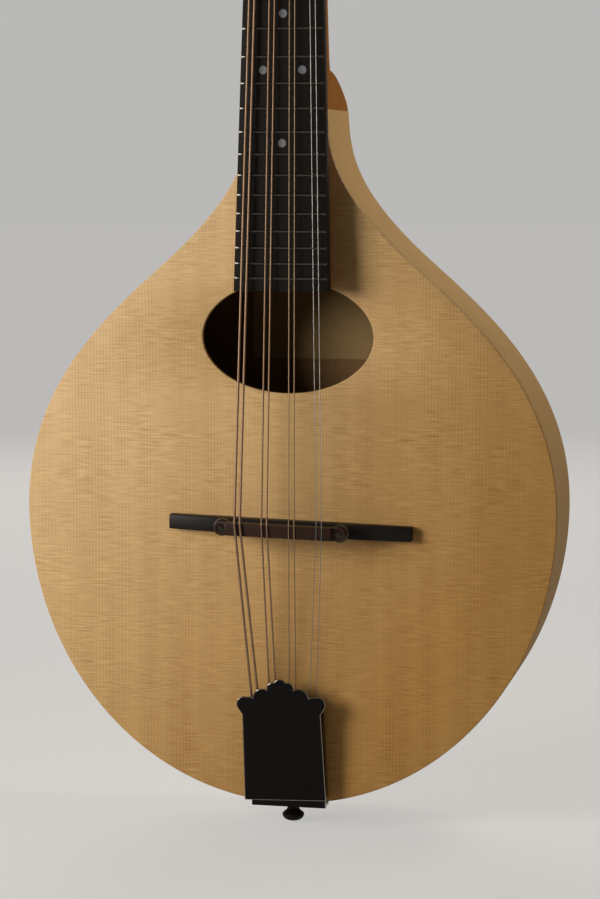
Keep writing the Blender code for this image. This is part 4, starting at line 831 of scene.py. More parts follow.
def neck_rings():
    def back_of_board(z):
        return board_front(z) + BOARD_THICKNESS

    rings = []
    seat = back_of_board(0) + GAP
    for z, y_front, depth in ((0.0142, seat + 0.0023, 0.0160), (0.0071, seat, 0.0200)):
        rings.append(neck_section(z, NUT_WIDTH / 2, y_front, BOARD_Y + depth, SHAFT_SQUARENESS))
    heel_top = JOINT_Z + HEEL_LENGTH
    curve_start = heel_top + HEEL_START
    for share in [i / 12 for i in range(13)]:
        z = curve_start * share
        y_back = board_front(z) + SHAFT_DEPTH + SHAFT_GROWTH * share
        half_width, squareness = board_half_width(z) - BOARD_LEDGE, SHAFT_SQUARENESS + 1.3 * share**4
        rings.append(neck_section(z, half_width, back_of_board(z) + HAIR, y_back, squareness))
    shaft_back = board_front(curve_start) + SHAFT_DEPTH + SHAFT_GROWTH
    for i in range(41):
        angle = QUARTER * i / 40
        along = 1 - math.cos(angle) ** (2 / HEEL_ROUND)
        z = heel_top - HEEL_LENGTH * along
        start = shaft_back + 0.0025 + 0.0015 * min(1.0, i / 8)
        y_back = start + (BODY_DEPTH - start) * math.sin(angle) ** (2 / HEEL_ROUND)
        squareness = SHAFT_SQUARENESS + 1.3 + 12.4 * math.sin(angle) ** 1.6 + 30.0 * math.sin(angle) ** 12
        shaft_width = board_half_width(z) - BOARD_LEDGE
        half_width = shaft_width + (JOINT_HALF_WIDTH - shaft_width) * along**0.6
        rings.append(neck_section(z, half_width, back_of_board(z) + HAIR, y_back, squareness))
    return rings


def extension_wedge():
    end = -BOARD_LENGTH + 0.0016
    rings = []
    for z, half in ((JOINT_Z + 0.0020, JOINT_HALF_WIDTH - 0.0002), (end, board_half_width(end) - 0.0016)):
        front, rear = board_front(z) + BOARD_THICKNESS + HAIR, -HAIR / 2
        rings.append([(-half, front, z), (half, front, z), (half, rear, z), (-half, rear, z)])
    return soften(loft("fretboard_wedge", rings), 0.0003)


finish_piece(loft("neck_shaft", neck_rings()), MAHOGANY, "body", "neck", 40)
finish_piece(extension_wedge(), MAHOGANY, "body", "neck")

# %% [markdown]
# The headstock is sawn from a board, so it is a plate: straight sides that ease out from the nut, round
# shoulders and a low crest. Its face is a veneer of ebony with the same outline. Both are bored for the posts.

# %% Headstock
SHOULDER_RADIUS, SHOULDER_SWEEP = 0.0100, math.radians(70)


def head_half():
    half = [(NUT_WIDTH / 2, 0.0)]
    for t in [i / 24 for i in range(25)]:
        half.append((NUT_WIDTH / 2 + (HEAD_HALF_WIDTH - NUT_WIDTH / 2) * ease(t), 0.0040 + 0.0210 * t))
    shoulder = (HEAD_HALF_WIDTH - SHOULDER_RADIUS, HEAD_LENGTH - 0.0050 - SHOULDER_RADIUS)
    half += arc(shoulder, SHOULDER_RADIUS, 0.0, SHOULDER_SWEEP, 12)
    last_x, last_z = half[-1]
    for t in [i / 16 for i in range(1, 17)]:
        half.append((last_x * (1 - t), last_z + (HEAD_LENGTH - last_z) * ease(t)))
    return half


HEAD_OUTLINE = mirrored(head_half())
POST_CENTRES = [(side * POST_FROM_CENTRE, height) for _, side, height in POSTS]


def head_plate(name, clearance, y_front, thickness, edge):
    holes = [circle(spot, POST_RADIUS + clearance) for spot in POST_CENTRES]
    return rounded_plate(name, [HEAD_OUTLINE] + holes, y_front, thickness, edge, HEAD_PLACE)


core = head_plate("headstock_core", 0.0010, VENEER_THICKNESS + HAIR, HEAD_THICKNESS + GAP, 0.0005)
finish_piece(core, MAHOGANY, "body", "neck")
veneer = head_plate("headstock_face", 0.0008, 0.0, VENEER_THICKNESS, 0.0004)
finish_piece(veneer, EBONY, "body", "headstock_veneer")

# %% [markdown]
# A bushing is a small nickel collar pressed into the front of each hole, where the post comes through. It is a
# turned profile: a low dome with a hole in it. Eight copies are set with the repeating tree.

# %% Bushings
BUSHING = [(0.0033, 0.0006), (0.0033, -0.0010), (0.0036, -0.0013), (0.0041, -0.0012)]
BUSHING += [(0.0048, -0.0004), (0.0050, 0.0), (0.0050, 0.0006), (0.0033, 0.0006)]
bushing = lathe("bushing_pattern", BUSHING)
spots = [(x, 0.0, z) for x, z in POST_CENTRES]
repeat("post_bushings", bushing, spots, NICKEL, HEAD_PLACE, "headstock_veneer")

# %% [markdown]
# The nut is a bar of bone with a shallow slot for each string. The slots guide the strings toward their posts.
# Its top edge is drawn once, slots and all, and lofted across the thickness of the bar.

# %% Nut
DIAMETERS = (0.00124, 0.00086, 0.00058, 0.00036)
COURSES_AT_SADDLE, PAIR_AT_SADDLE = (-0.0205, -0.0069, 0.0068, 0.0206), 0.0027
COURSES_AT_NUT, PAIR_AT_NUT = (-0.0112, -0.0037, 0.0037, 0.0112), 0.0026
COURSES_AT_TAIL, PAIR_AT_TAIL = (-0.0144, -0.0054, 0.0045, 0.0148), 0.0034
NUT_TOP, SLOT_FLOOR = -0.0014, -0.00106


def string_radius(number):
    return DIAMETERS[(number - 1) // 2] / 2


def string_x(number):
    """Where a string lies across the saddle, the nut and the tailpiece."""
    course, which = divmod(number - 1, 2)
    step = which - 0.5
    return (
        COURSES_AT_SADDLE[course] + step * PAIR_AT_SADDLE,
        COURSES_AT_NUT[course] + step * PAIR_AT_NUT,
        COURSES_AT_TAIL[course] + step * PAIR_AT_TAIL,
    )


def nut_edge():
    """Points (x, height) along the top of the nut, with a round-bottomed slot under each string."""
    edge = [(-NUT_WIDTH / 2, NUT_TOP)]
    for number in range(1, 9):
        x, radius = string_x(number)[1], string_radius(number) + 0.00012
        slot = ((-1.0, -0.0016), (-1.0, -0.00145), (-0.7, -0.00118), (0.0, SLOT_FLOOR))
        edge += [(x + radius * share, height) for share, height in slot]
        edge += [(x - radius * share, height) for share, height in reversed(slot[:-1])]
    return edge + [(NUT_WIDTH / 2, NUT_TOP)]


def bone_nut():
    rings = []
    for z, fall in ((GAP, 0.0), (0.0022, 0.0002), (0.0034, 0.0007), (0.0044, 0.0018)):
        ring = [(x, y + fall, z) for x, y in nut_edge()]
        rings.append(ring + [(NUT_WIDTH / 2, BOARD_THICKNESS, z), (-NUT_WIDTH / 2, BOARD_THICKNESS, z)])
    return loft("bone_nut", rings, NECK_PLACE)


finish_piece(bone_nut(), BONE, "body", "nut")

# %% [markdown]
# A steel rod in the neck is reached under a small cover behind the nut: a thin ebony plate shaped like a bell,
# drawn as a half outline and mirrored.

# %% Truss rod cover
COVER_HALF, COVER_PLATE = 0.0085, 0.0018
BELL = [(COVER_HALF, 0.0010), (COVER_HALF, 0.0050)]
BELL += [(COVER_HALF * (1 - 0.62 * ease(i / 16)), 0.0050 + 0.0127 * i / 16) for i in range(1, 17)]
BELL += [(0.0030, 0.0205), (0.0024, 0.0240), (0.0019, 0.0266), (0.0010, 0.0277), (0.0, 0.0280)]
rod_cover = rounded_plate("truss_cover", [mirrored(BELL)], -COVER_PLATE - HAIR, COVER_PLATE, 0.0003, HEAD_PLACE)
finish_piece(rod_cover, EBONY, "body", "truss_rod_cover")

# %% [markdown]
# A small screw is a domed head with a slot cut into it. The solids leave them out. The dome here is a turned
# profile with the slot pressed into its top, and the tree sets copies wherever a plate is fixed.


# %% Screws
def slotted_screw(radius, height):
    """A domed head with a straight slot, its axis along -Y."""
    rings = []
    for share in [i / 7 for i in range(8)]:
        dome = height * math.sqrt(1 - 0.8 * share**2) if share < 1 else 0.0
        ring = []
        for a in around(24):
            r = max(radius * share, TINY)
            in_slot = abs(r * math.cos(a)) < radius * 0.14 and share < 0.9
            ring.append((r * math.cos(a), (height / 2 if in_slot else 0.0) - dome, r * math.sin(a)))
        rings.append(ring)
    rings.append([(x, 0.0004, z) for x, _, z in rings[-1]])
    return loft("screw_pattern", rings)


def spun(angles, tip=0):
    """Screws stop at any angle: each of these turns one of them about its own axis."""
    return [(0, angle, tip) for angle in angles]


spots = [(-0.0062, -COVER_PLATE, 0.0034), (0.0062, -COVER_PLATE, 0.0034), (0.0, -COVER_PLATE, 0.0252)]
turns, scales = spun((0.4, 1.3, -0.6)), (1.0, 1.0, 0.8)
screw = slotted_screw(0.0014, 0.0006)
repeat(
    "truss_cover_screws", screw, spots, NICKEL, HEAD_PLACE, "truss_rod_cover", turns, scales
)

# %% [markdown]
# ## The fretboard
#
# The board is a plank of ebony with slots sawn across it. The frets follow a rule: each one shortens the string
# by the twelfth root of two. That rule is written into a Geometry Nodes tree, which takes the scale length and
# the number of frets and works out each fret's place and width by itself.


# %% The tree that sets the frets
def make_fret_tree():
    tree, given, leave = open_group(
        "frets by the rule",
        "GeometryNodeTree",
        (
            ("Geometry", "Geometry"),
            ("Fret", "Object"),
            ("Frets", "Int", 22),
            ("Scale Length", "Float", SCALE_LENGTH),
            ("Width at Nut", "Float", NUT_WIDTH),
            ("Width at End", "Float", BOARD_END_WIDTH),
            ("Board Length", "Float", BOARD_LENGTH),
            ("Edge Inset", "Float", 0.0004),
            ("Finish", "Material"),
        ),
        (("Geometry", "Geometry"),),
    )
    calc = calculator(tree)
    line = add_node(tree, "GeometryNodeMeshLine", {"Count": given["Frets"]}).outputs[0]
    number = calc("ADD", add_node(tree, "GeometryNodeInputIndex").outputs[0], 1.0)
    shorter = calc("POWER", 2.0, calc("DIVIDE", number, -12.0))
    down = calc("MULTIPLY", given["Scale Length"], calc("SUBTRACT", 1.0, shorter))
    spot = add_node(tree, "ShaderNodeCombineXYZ", {"Z": calc("MULTIPLY", down, -1.0)}).outputs[0]
    placed = add_node(tree, "GeometryNodeSetPosition", {"Geometry": line, "Position": spot}).outputs[0]
    flare = calc("DIVIDE", calc("SUBTRACT", given["Width at End"], given["Width at Nut"]), given["Board Length"])
    width = calc("MULTIPLY_ADD", flare, down, given["Width at Nut"])
    width = calc("SUBTRACT", width, calc("MULTIPLY", given["Edge Inset"], 2.0))
    size = add_node(tree, "ShaderNodeCombineXYZ", {"X": width, "Y": 1.0, "Z": 1.0}).outputs[0]
    copies = set_copies(tree, placed, given["Fret"], {"Scale": size})
    return end_tree(tree, copies, given["Finish"], leave)


def fret_wire(width, height):
    """One fret of unit length along X: a round crown, with a flat filed at a slant on each end."""
    crown = [(z, -0.0002 + y) for y, z in circle_half(width / 2 * 0.92, height - 0.0002)]
    profile = [(width / 2, 0.0005), (width / 2, -0.00015), *crown, (-width / 2, -0.00015), (-width / 2, 0.0005)]
    ends = ((0.5, 0.00015), (0.4985, 0.00052), (0.497, 0.00054), (0.459, 0.00107), (0.457, height), (0.44, height))
    stations = [(-x, limit) for x, limit in ends] + list(reversed(ends))
    return loft("fret_pattern", [[(x, max(y, -limit), z) for z, y in profile] for x, limit in stations])


def circle_half(half_width, height):
    """Nine points (height, width) over a half round, from one foot to the other."""
    angles = [math.pi * i / 8 for i in range(9)]
    return [(-height * math.sin(a), half_width * math.cos(a)) for a in angles]


pattern = fret_wire(0.0016, 0.0011)
carrier = object_from("frets", bmesh.new())
frets = run_tree(carrier, make_fret_tree(), {"Fret": pattern, "Frets": 22, "Finish": FRET_NICKEL})
bpy.data.objects.remove(pattern)
frets.data.transform(NECK_PLACE)
finish_piece(frets, FRET_NICKEL, "body", "fretboard", 50)

# %% [markdown]
# The plank itself is a plate that widens toward the body. Pearl dots on its face and bone dots on its edge tell
# the player where the hand is. Each dot lies half way between two frets, so the rule gives its place too.

# %% Fretboard and dots
DOT, SIDE_DOT = 0.0020, 0.0008


def fret_place(number):
    return -SCALE_LENGTH * (1 - 2 ** (-number / 12))


def before_fret(number):
    return (fret_place(number) + fret_place(number - 1)) / 2


plank = mirrored([(NUT_WIDTH / 2, 0.0), (BOARD_END_WIDTH / 2, -BOARD_LENGTH)])
board = rounded_plate("fretboard_plank", [plank], 0.0, BOARD_THICKNESS, 0.00035, NECK_PLACE)
finish_piece(board, EBONY, "body", "fretboard")
profile = [(0.0, -0.00003), (DOT, -0.00003), (DOT + HAIR, 0.0), (DOT + HAIR, 0.0004), (0.0, 0.0004)]
dot = lathe("dot_pattern", profile)
spots = [(0.0, 0.0, before_fret(number)) for number in (5, 7, 10, 15)]
spots += [(x, 0.0, before_fret(12)) for x in (-0.0098, 0.0098)]
repeat("position_dots", dot, spots, PEARL, NECK_PLACE, "fretboard")
profile = [(0.0, -0.00003), (SIDE_DOT, -0.00003), (SIDE_DOT, 0.0003), (0.0, 0.0003)]
side_dot = lathe("side_dot_pattern", profile, steps=20)
heights = [before_fret(number) for number in (5, 7, 10, 12, 15)]
spots = [(-board_half_width(z), BOARD_THICKNESS / 2, z) for z in heights]
repeat("side_dots", side_dot, spots, BONE, NECK_PLACE, "fretboard", [(0, 0, -QUARTER)] * len(spots))

# %% [markdown]
# ## The bridge
#
# The bridge is not glued down: the strings hold it on the top. Its base is a slim bar of ebony. Two threaded
# posts stand in it, a knurled wheel turns on each, and the wheels carry the saddle, a second bar with a bored
# ear round each post. The saddle's top falls away behind the line where the strings bear. Each cut is a Boolean
# with a box, and a bevel eases the edges once the cuts are made.

# %% Bridge base and saddle
HALF_SPACING = 0.0597 / 2
BRIDGE_BORE = 0.0020
WHEEL_THICKNESS, WHEEL_RADIUS, WHEEL_BACK = 0.0024, 0.0044, -(0.0080 + GAP + 0.0050)
WHEEL_FRONT = WHEEL_BACK - WHEEL_THICKNESS
SADDLE_BACK = WHEEL_FRONT - GAP
SADDLE_TOP, EAR_TOP, BEARING_LINE = -0.0221, -0.0193, 0.0029
BAR_THICKNESS, EAR_RADIUS, EAR_INSIDE, EAR_OUTSIDE = 0.0064, 0.0034, 0.0036, 0.0068


def bridge_base():
    half, inner = 0.0074 / 2, HALF_SPACING + 0.0044
    rings = []
    for x, y in ((-0.0597, -0.0053), (-inner, -0.0083), (inner, -0.0083), (0.0637, -0.0053)):
        rings.append([(x, -GAP, -half), (x, y, -half), (x, y, half), (x, -GAP, half)])
    return soften(loft("bridge_foot", rings, BRIDGE_PLACE), 0.0006, 3)


def carve(obj, low, high, place=None):
    """Cuts a box out of a piece."""
    size = [b - a for a, b in zip(low, high)]
    middle = [(a + b) / 2 for a, b in zip(low, high)]
    bm = bmesh.new()
    bmesh.ops.create_cube(bm, size=1.0, matrix=Matrix.Translation(middle) @ Matrix.Diagonal((*size, 1.0)))
    tool = object_from("cutter", bm, place)
    step = obj.modifiers.new("carve", "BOOLEAN")
    step.operation, step.solver, step.object = "DIFFERENCE", "EXACT", tool
    obj = settle(obj)
    bpy.data.objects.remove(tool)
    return obj


def saddle_bar():
    meet = math.asin(BAR_THICKNESS / 2 / EAR_RADIUS)
    outline = arc((HALF_SPACING, 0), EAR_RADIUS, meet - math.pi, math.pi - meet, 40)
    outline += arc((-HALF_SPACING, 0), EAR_RADIUS, meet, math.tau - meet, 40)
    holes = [circle((side * HALF_SPACING, 0.0), BRIDGE_BORE, 40) for side, _ in SIDES]
    bar = rounded_plate("saddle_bar", [outline] + holes, SADDLE_TOP, SADDLE_BACK - SADDLE_TOP, 0.00002)
    fall = Matrix.Translation((0.0, SADDLE_TOP, BEARING_LINE)) @ Matrix.Rotation(math.atan(0.20), 4, "X")
    bar = carve(bar, (-0.06, -0.01, -0.02), (0.06, 0.0, 0.0), fall)
    inner, outer = HALF_SPACING - EAR_INSIDE, HALF_SPACING + EAR_OUTSIDE
    for left, right in ((inner, outer), (-outer, -inner)):
        bar = carve(bar, (left, -0.04, -0.01), (right, EAR_TOP, 0.01))
    bar = soften(bar, 0.00025, 2, 40)
    bar.data.transform(BRIDGE_PLACE)
    return bar


finish_piece(bridge_base(), EBONY_BRIDGE, "body", "bridge_base")
finish_piece(saddle_bar(), ROSEWOOD, "saddle", "bridge_saddle", 40)

# %% [markdown]
# A thread is a circle whose radius rises and falls, with the wave a little further on at each step up the post.
# A displaced cylinder would do too, but a loft of such rings needs no modifier. The knurls of a wheel are a
# wave too, so the wheel is a plate with a wavy outline and a hole.

# %% Bridge posts and thumbwheels
THREAD_PITCH, THREAD_RADIUS, THREAD_DEPTH = 0.00079, 0.0017, 0.00018
KNURLS, KNURL_DEPTH = 40, 0.00016


def hollow(angle):
    """How far down a wave is, from 0 at its crest to 1 at its floor."""
    return 0.5 + 0.5 * math.cos(angle)


def threaded_post(name, x):
    low, high = -GAP - 0.0015, EAR_TOP + GAP
    rings = []
    for y in [low + (high - low) * i / 150 for i in range(151)]:
        radii = [(a, THREAD_RADIUS - THREAD_DEPTH * hollow(math.tau * y / THREAD_PITCH + a)) for a in around(24)]
        rings.append([(x + r * math.cos(a), y, r * math.sin(a)) for a, r in radii])
    return loft(name, rings, BRIDGE_PLACE)


def knurled_wheel(name, x):
    radii = [(a, WHEEL_RADIUS - KNURL_DEPTH * hollow(KNURLS * a)) for a in around(4 * KNURLS)]
    loops = [[(x + r * math.cos(a), r * math.sin(a)) for a, r in radii], circle((x, 0.0), BRIDGE_BORE)]
    return rounded_plate(name, loops, WHEEL_FRONT, WHEEL_THICKNESS, 0.0002, BRIDGE_PLACE)


for side, word in SIDES:
    post = threaded_post(f"threaded_post_{word}", side * HALF_SPACING)
    finish_piece(post, AGED_NICKEL, "body", f"bridge_post_{word}", 60)
    wheel = knurled_wheel(f"knurled_wheel_{word}", side * HALF_SPACING)
    finish_piece(wheel, AGED_NICKEL, f"wheel_{word}", f"thumbwheel_{word}", 40)

# %% [markdown]
# ## The tailpiece
#
# The strings end on hooks under a stamped cover. The cover's top edge is cut in lobes. It is a thin sheet with
# its sides folded down, and it slides off toward the bridge when a string is changed. Its dark plating mirrors
# the room, and catches the light only on its slanting edges. Each lobe is an arc that meets the next in a small
# notch. The tailpiece leans by less than two degrees, as one fitted by hand can. Distances along it are
# measured down from the saddle.

# %% Tailpiece cover
COVER_TIP, COVER_END, LEAN_PIVOT = 0.0782, 0.1410, 0.1096
TIP_HEIGHT, END_HEIGHT, COVER_THICKNESS = 0.0130, 0.0084, 0.0008
COVER_FOOT = COVER_TIP - COVER_END
COVER_TILT = math.atan((TIP_HEIGHT - END_HEIGHT) / (COVER_END - COVER_TIP))
LEAN = Matrix.Translation((-0.0001, 0.0, SADDLE_Z - LEAN_PIVOT)) @ Matrix.Rotation(math.radians(-1.8), 4, "Y")
COVER_PLACE = LEAN @ Matrix.Translation((0.0, -TIP_HEIGHT, LEAN_PIVOT - COVER_TIP))
COVER_PLACE = COVER_PLACE @ Matrix.Rotation(COVER_TILT, 4, "X")
LOBES = ((0.0, -0.0033, 0.0033), (0.0037, -0.0050, 0.0033), (0.0092, -0.0100, 0.0051))
LOBES += ((0.0165, -0.0145, 0.0054), (0.0188, -0.0130, 0.0040))


def lobe_crossing(first, second):
    """Where the circles of two lobes, each (x, z, radius), cross on the outside."""
    a, b = Vector(first[:2]), Vector(second[:2])
    gap = b - a
    along = (gap.length_squared + first[2] ** 2 - second[2] ** 2) / (2 * gap.length)
    step = gap.normalized()
    return a + step * along + Vector((-step.y, step.x)) * math.sqrt(first[2] ** 2 - along**2)


def cover_half():
    crossings = [lobe_crossing(a, b) for a, b in zip(LOBES, LOBES[1:])]
    starts = [Vector((0.0, LOBES[0][1] + LOBES[0][2]))] + crossings
    rim = []
    for (x, z, radius), start, last in zip(LOBES, starts, crossings + [None]):
        first = math.atan2(start.y - z, start.x - x)
        end = math.radians(-40) if last is None else math.atan2(last.y - z, last.x - x)
        rim += arc((x, z), radius, first, end, 28 if last is None else 16)
    rim += [(0.0200, -0.0186), (0.0201, -0.0196), (0.0209, COVER_FOOT)]
    return list(reversed(rim))


def show_thin_edges(obj, place):
    """Gives the narrow slanting faces along the edges of a plated piece the brighter metal."""
    turn = place.to_3x3().inverted()
    obj.data.materials.append(THIN_PLATE)
    for face in obj.data.polygons:
        face.material_index = int(max(abs(part) for part in turn @ face.normal) < 0.975)
    print(obj.name, "edge faces:", sum(face.material_index for face in obj.data.polygons))


def cover_side(name, side):
    rings = []
    for z, half, reach in ((-0.0200, 0.0201, 0.0098), (COVER_FOOT, 0.0209, 0.0074)):
        outer, inner = side * half, side * (half - COVER_THICKNESS)
        rings.append([(outer, 0.0002, z), (inner, 0.0002, z), (inner, reach, z), (outer, reach, z)])
    return soften(loft(name, rings, COVER_PLACE), 0.0003)


sheet = rounded_plate("cover_sheet", [mirrored(cover_half())], 0.0, COVER_THICKNESS, 0.00038, COVER_PLACE)
finish_piece(sheet, DARK_NICKEL, "cover", "tailpiece_cover", 30)
show_thin_edges(sheet, COVER_PLACE)
for side, word in SIDES:
    flange = cover_side(f"cover_side_{word}", side)
    finish_piece(flange, DARK_NICKEL, "cover", "tailpiece_cover")
    show_thin_edges(flange, COVER_PLACE)

# %% [markdown]
# Under the cover lies the base, whose solid only needs its edges eased. Its flange is bent down over the tail
# and fixed with three screws. The end pin holds a strap: it is turned from ebony, so a profile and a lathe make
# it, with its axis turned to point down.

# %% Tailpiece base, end pin and screws
FLANGE_BACK = TAIL_Z - GAP - 0.0012
base = refined_solid("tailpiece_base", "tailpiece_frame", 0.00018, 50)
finish_piece(base, DARK_NICKEL, "body", "tailpiece_base", 40)
PIN = [(0.0, -0.0170), (0.0030, -0.0170), (0.0033, -0.0001), (0.0046, 0.0), (0.0046, 0.0006), (0.0041, 0.0012)]
PIN += [(0.0034, 0.0022), (0.0029, 0.0034), (0.0030, 0.0042), (0.0036, 0.0052), (0.0046, 0.0060)]
PIN += [(0.0054, 0.0067), (0.0056, 0.0073), (0.0055, 0.0081), (0.0050, 0.0090), (0.0041, 0.0098)]
PIN += [(0.0030, 0.0103), (0.0018, 0.0105), (0.0, 0.0105)]
pin_place = Matrix.Translation((0.0, 0.0150, FLANGE_BACK - GAP)) @ Matrix.Rotation(-QUARTER, 4, "X")
finish_piece(lathe("turned_end_pin", PIN, pin_place, 64), EBONY, "body", "end_pin", 30)
screw_place = Matrix.Translation((0.0, 0.0, FLANGE_BACK)) @ Matrix.Rotation(QUARTER, 4, "X")
spots = [(x, 0.0, -y) for x, y in ((-0.0120, 0.0050), (0.0135, 0.0050), (0.0, 0.0300))]
screw, turns = slotted_screw(0.0022, 0.0010), spun((0.3, 1.1, 2.0))
repeat("flange_screws", screw, spots, DARK_NICKEL, screw_place, "tailpiece_base", turns)

# %% [markdown]
# ## The tuners
#
# Each string winds on a post. A toothed gear on the post's end, behind the headstock, meshes with a worm on the
# button's shaft: fourteen turns of the button turn the post once. The plates and the geared posts have their
# full shape in the solids, teeth and all, so each is a copy with eased edges.

# %% Plates, posts and gears
for _, word in SIDES:
    plate = refined_solid(f"tuner_plate_{word}", f"plate_{word}", 0.00022, 50)
    finish_piece(plate, NICKEL, "body", f"tuner_plate_{word}", 40)
spots = []
for side, _ in SIDES:
    heights = [height for _, post_side, height in POSTS if post_side == side]
    for z in (min(heights) - 0.0092, max(heights) + 0.0070, sum(heights) / 4 - 0.0030):
        x = side * (POST_FROM_CENTRE - 0.0045) if z < max(heights) else side * POST_FROM_CENTRE
        spots.append((x, PLATE_BACK, z))
screw, turns = slotted_screw(0.0016, 0.0008), spun([35 * z for _, _, z in spots], math.pi)
repeat("plate_screws", screw, spots, NICKEL, HEAD_PLACE, "tuner_plate_bass", turns)
for number, _, _ in POSTS:
    post = refined_solid(f"tuner_post_{number}", f"geared_post_{number}", 0.00012, 40)
    finish_piece(post, NICKEL, f"post_{number}", f"tuner_post_{number}", 30)

# %% [markdown]
# The worm's thread is a helix. The Screw modifier could draw it, but here it is lofted from a section that turns
# and moves along at once, so that it can run out gently into the shaft at both ends. The shaft is turned, and
# the button is a loft of ovals.

# %% Worms and buttons
GEAR_TEETH, GEAR_PITCH_RADIUS, WORM_PITCH_RADIUS = 14, 0.0047, 0.0023
THREAD_TURNS, THREAD_HEIGHT, THREAD_ROOT = 2.25, 0.0006, 0.0009
CORE = WORM_PITCH_RADIUS - THREAD_ROOT
BEARING = 0.0014
WORM_PITCH = math.tau * GEAR_PITCH_RADIUS / GEAR_TEETH
WORM_Y = PLATE_BACK + GAP + WORM_PITCH_RADIUS + THREAD_HEIGHT
BEARING_OFFSET = (THREAD_TURNS + 1.2) * WORM_PITCH / 2 + BEARING / 2 + GAP
BUTTON_START = HEAD_HALF_WIDTH - POST_FROM_CENTRE + 0.0030
BUTTON_LENGTH, BUTTON_HALF_WIDTH, BUTTON_HALF_DEPTH = 0.0140, 0.0068, 0.0048


def worm(name, place):
    crest, foot, steps = WORM_PITCH_RADIUS + THREAD_HEIGHT, CORE - 0.0002, 28
    half = [(0.72, foot), (0.30, crest), (0.18, crest + HAIR)]
    section = [(-share, radius) for share, radius in half] + list(reversed(half))
    count = int(THREAD_TURNS * steps)
    rings = []
    for i in range(count + 1):
        turn = (i - count / 2) / steps
        angle = QUARTER + math.tau * turn
        run_out = min(1.0, min(i, count - i) / 5)
        radii = [((turn + share * 0.40) * WORM_PITCH, foot + (radius - foot) * run_out) for share, radius in section]
        rings.append([(x, r * math.cos(angle), r * math.sin(angle)) for x, r in radii])
    return loft(name, rings, place)


def turned_shaft(name, side, place):
    length = BEARING_OFFSET - BEARING / 2 - GAP
    inner = BEARING_OFFSET + BEARING / 2 + 0.0006
    profile = [(0.0, -inner), (0.0011, -inner), (0.0013, -inner + 0.0002), (0.0013, -length)]
    profile += [(CORE - 0.0001, -length), (CORE, -length + 0.0001)]
    profile += [(CORE, length - 0.0001), (CORE - 0.0001, length)]
    profile += [(0.0013, length)]
    collar = ((0.0013, -0.0022), (0.0019, -0.0020), (0.0021, -0.0012), (0.0019, -0.0002), (0.0019, 0.0020))
    profile += [(radius, BUTTON_START + along) for radius, along in (*collar, (0.0, 0.0020))]
    return lathe(name, profile, place @ Matrix.Rotation(-side * QUARTER, 4, "Z"), 32)


STATIONS = ((0.0, 0.26, 0.36), (0.02, 0.30, 0.42), (0.14, 0.30, 0.42), (0.18, 0.36, 0.46), (0.24, 0.66, 0.70))
STATIONS += ((0.32, 0.86, 0.87), (0.44, 0.985, 0.98), (0.58, 1.0, 1.0), (0.72, 0.96, 0.95), (0.84, 0.83, 0.82))
STATIONS += ((0.93, 0.62, 0.60), (0.98, 0.38, 0.36), (1.0, 0.12, 0.12))


def oval_button(name, side, place):
    """A short collar that swells into a flattened oval. A station is (share of the length, width, depth)."""
    rings = []
    for share, width, depth in STATIONS:
        x = side * (BUTTON_START + share * BUTTON_LENGTH)
        depth, width = depth * BUTTON_HALF_DEPTH, width * BUTTON_HALF_WIDTH
        rings.append([(x, depth * math.sin(a), width * math.cos(a)) for a in around(40)])
    return loft(name, rings, place)


for number, side, height in POSTS:
    spot = (side * POST_FROM_CENTRE, WORM_Y, height - GEAR_PITCH_RADIUS - WORM_PITCH_RADIUS)
    seat = HEAD_PLACE @ Matrix.Translation(spot)
    body, node = f"worm_{number}", f"tuner_worm_{number}"
    finish_piece(worm(f"worm_thread_{number}", seat), NICKEL, body, node, 50)
    finish_piece(turned_shaft(f"button_shaft_{number}", side, seat), NICKEL, body, node, 40)
    finish_piece(oval_button(f"button_{number}", side, seat), BUTTON, body, node, 60)
print("tuners:", len(POSTS))

# %% [markdown]
# ## The strings
#
# Four pairs run from the hooks over the saddle and the nut to the posts, and bend over the saddle. Each string is
# three pieces: the tail end from its hook to the saddle, the sounding length from the saddle over the nut, and
# the turns round the post, which turn with it.

# %% Strings
HOOK_Z, LIP, LIP_FRONT = SADDLE_Z - 0.1260, 0.0921, -0.0073
CLEAR = 0.00003
POST_TURNS, TURN_STEPS = 3, 36


def spaced(points, step):
    """Adds points along a path so that a bend spreads smoothly."""
    made = [Vector(points[0])]
    for a, b in zip(points, points[1:]):
        a, b = Vector(a), Vector(b)
        count = max(1, int((b - a).length / step))
        made += [a.lerp(b, i / count) for i in range(1, count + 1)]
    return made


def turns_round_post(side, height, radius):
    """A helix down the post, from the side where the string arrives."""
    reach, pitch = POST_RADIUS + HAIR + radius, 2 * radius + 0.00012
    coil = []
    for turn in [i / TURN_STEPS for i in range(POST_TURNS * TURN_STEPS + 1)]:
        a = math.tau * turn
        x, y = side * (POST_FROM_CENTRE - reach * math.cos(a)), -0.0022 - radius - pitch * turn
        coil.append(HEAD_PLACE @ Vector((x, y, height + reach * math.sin(a))))
    return coil


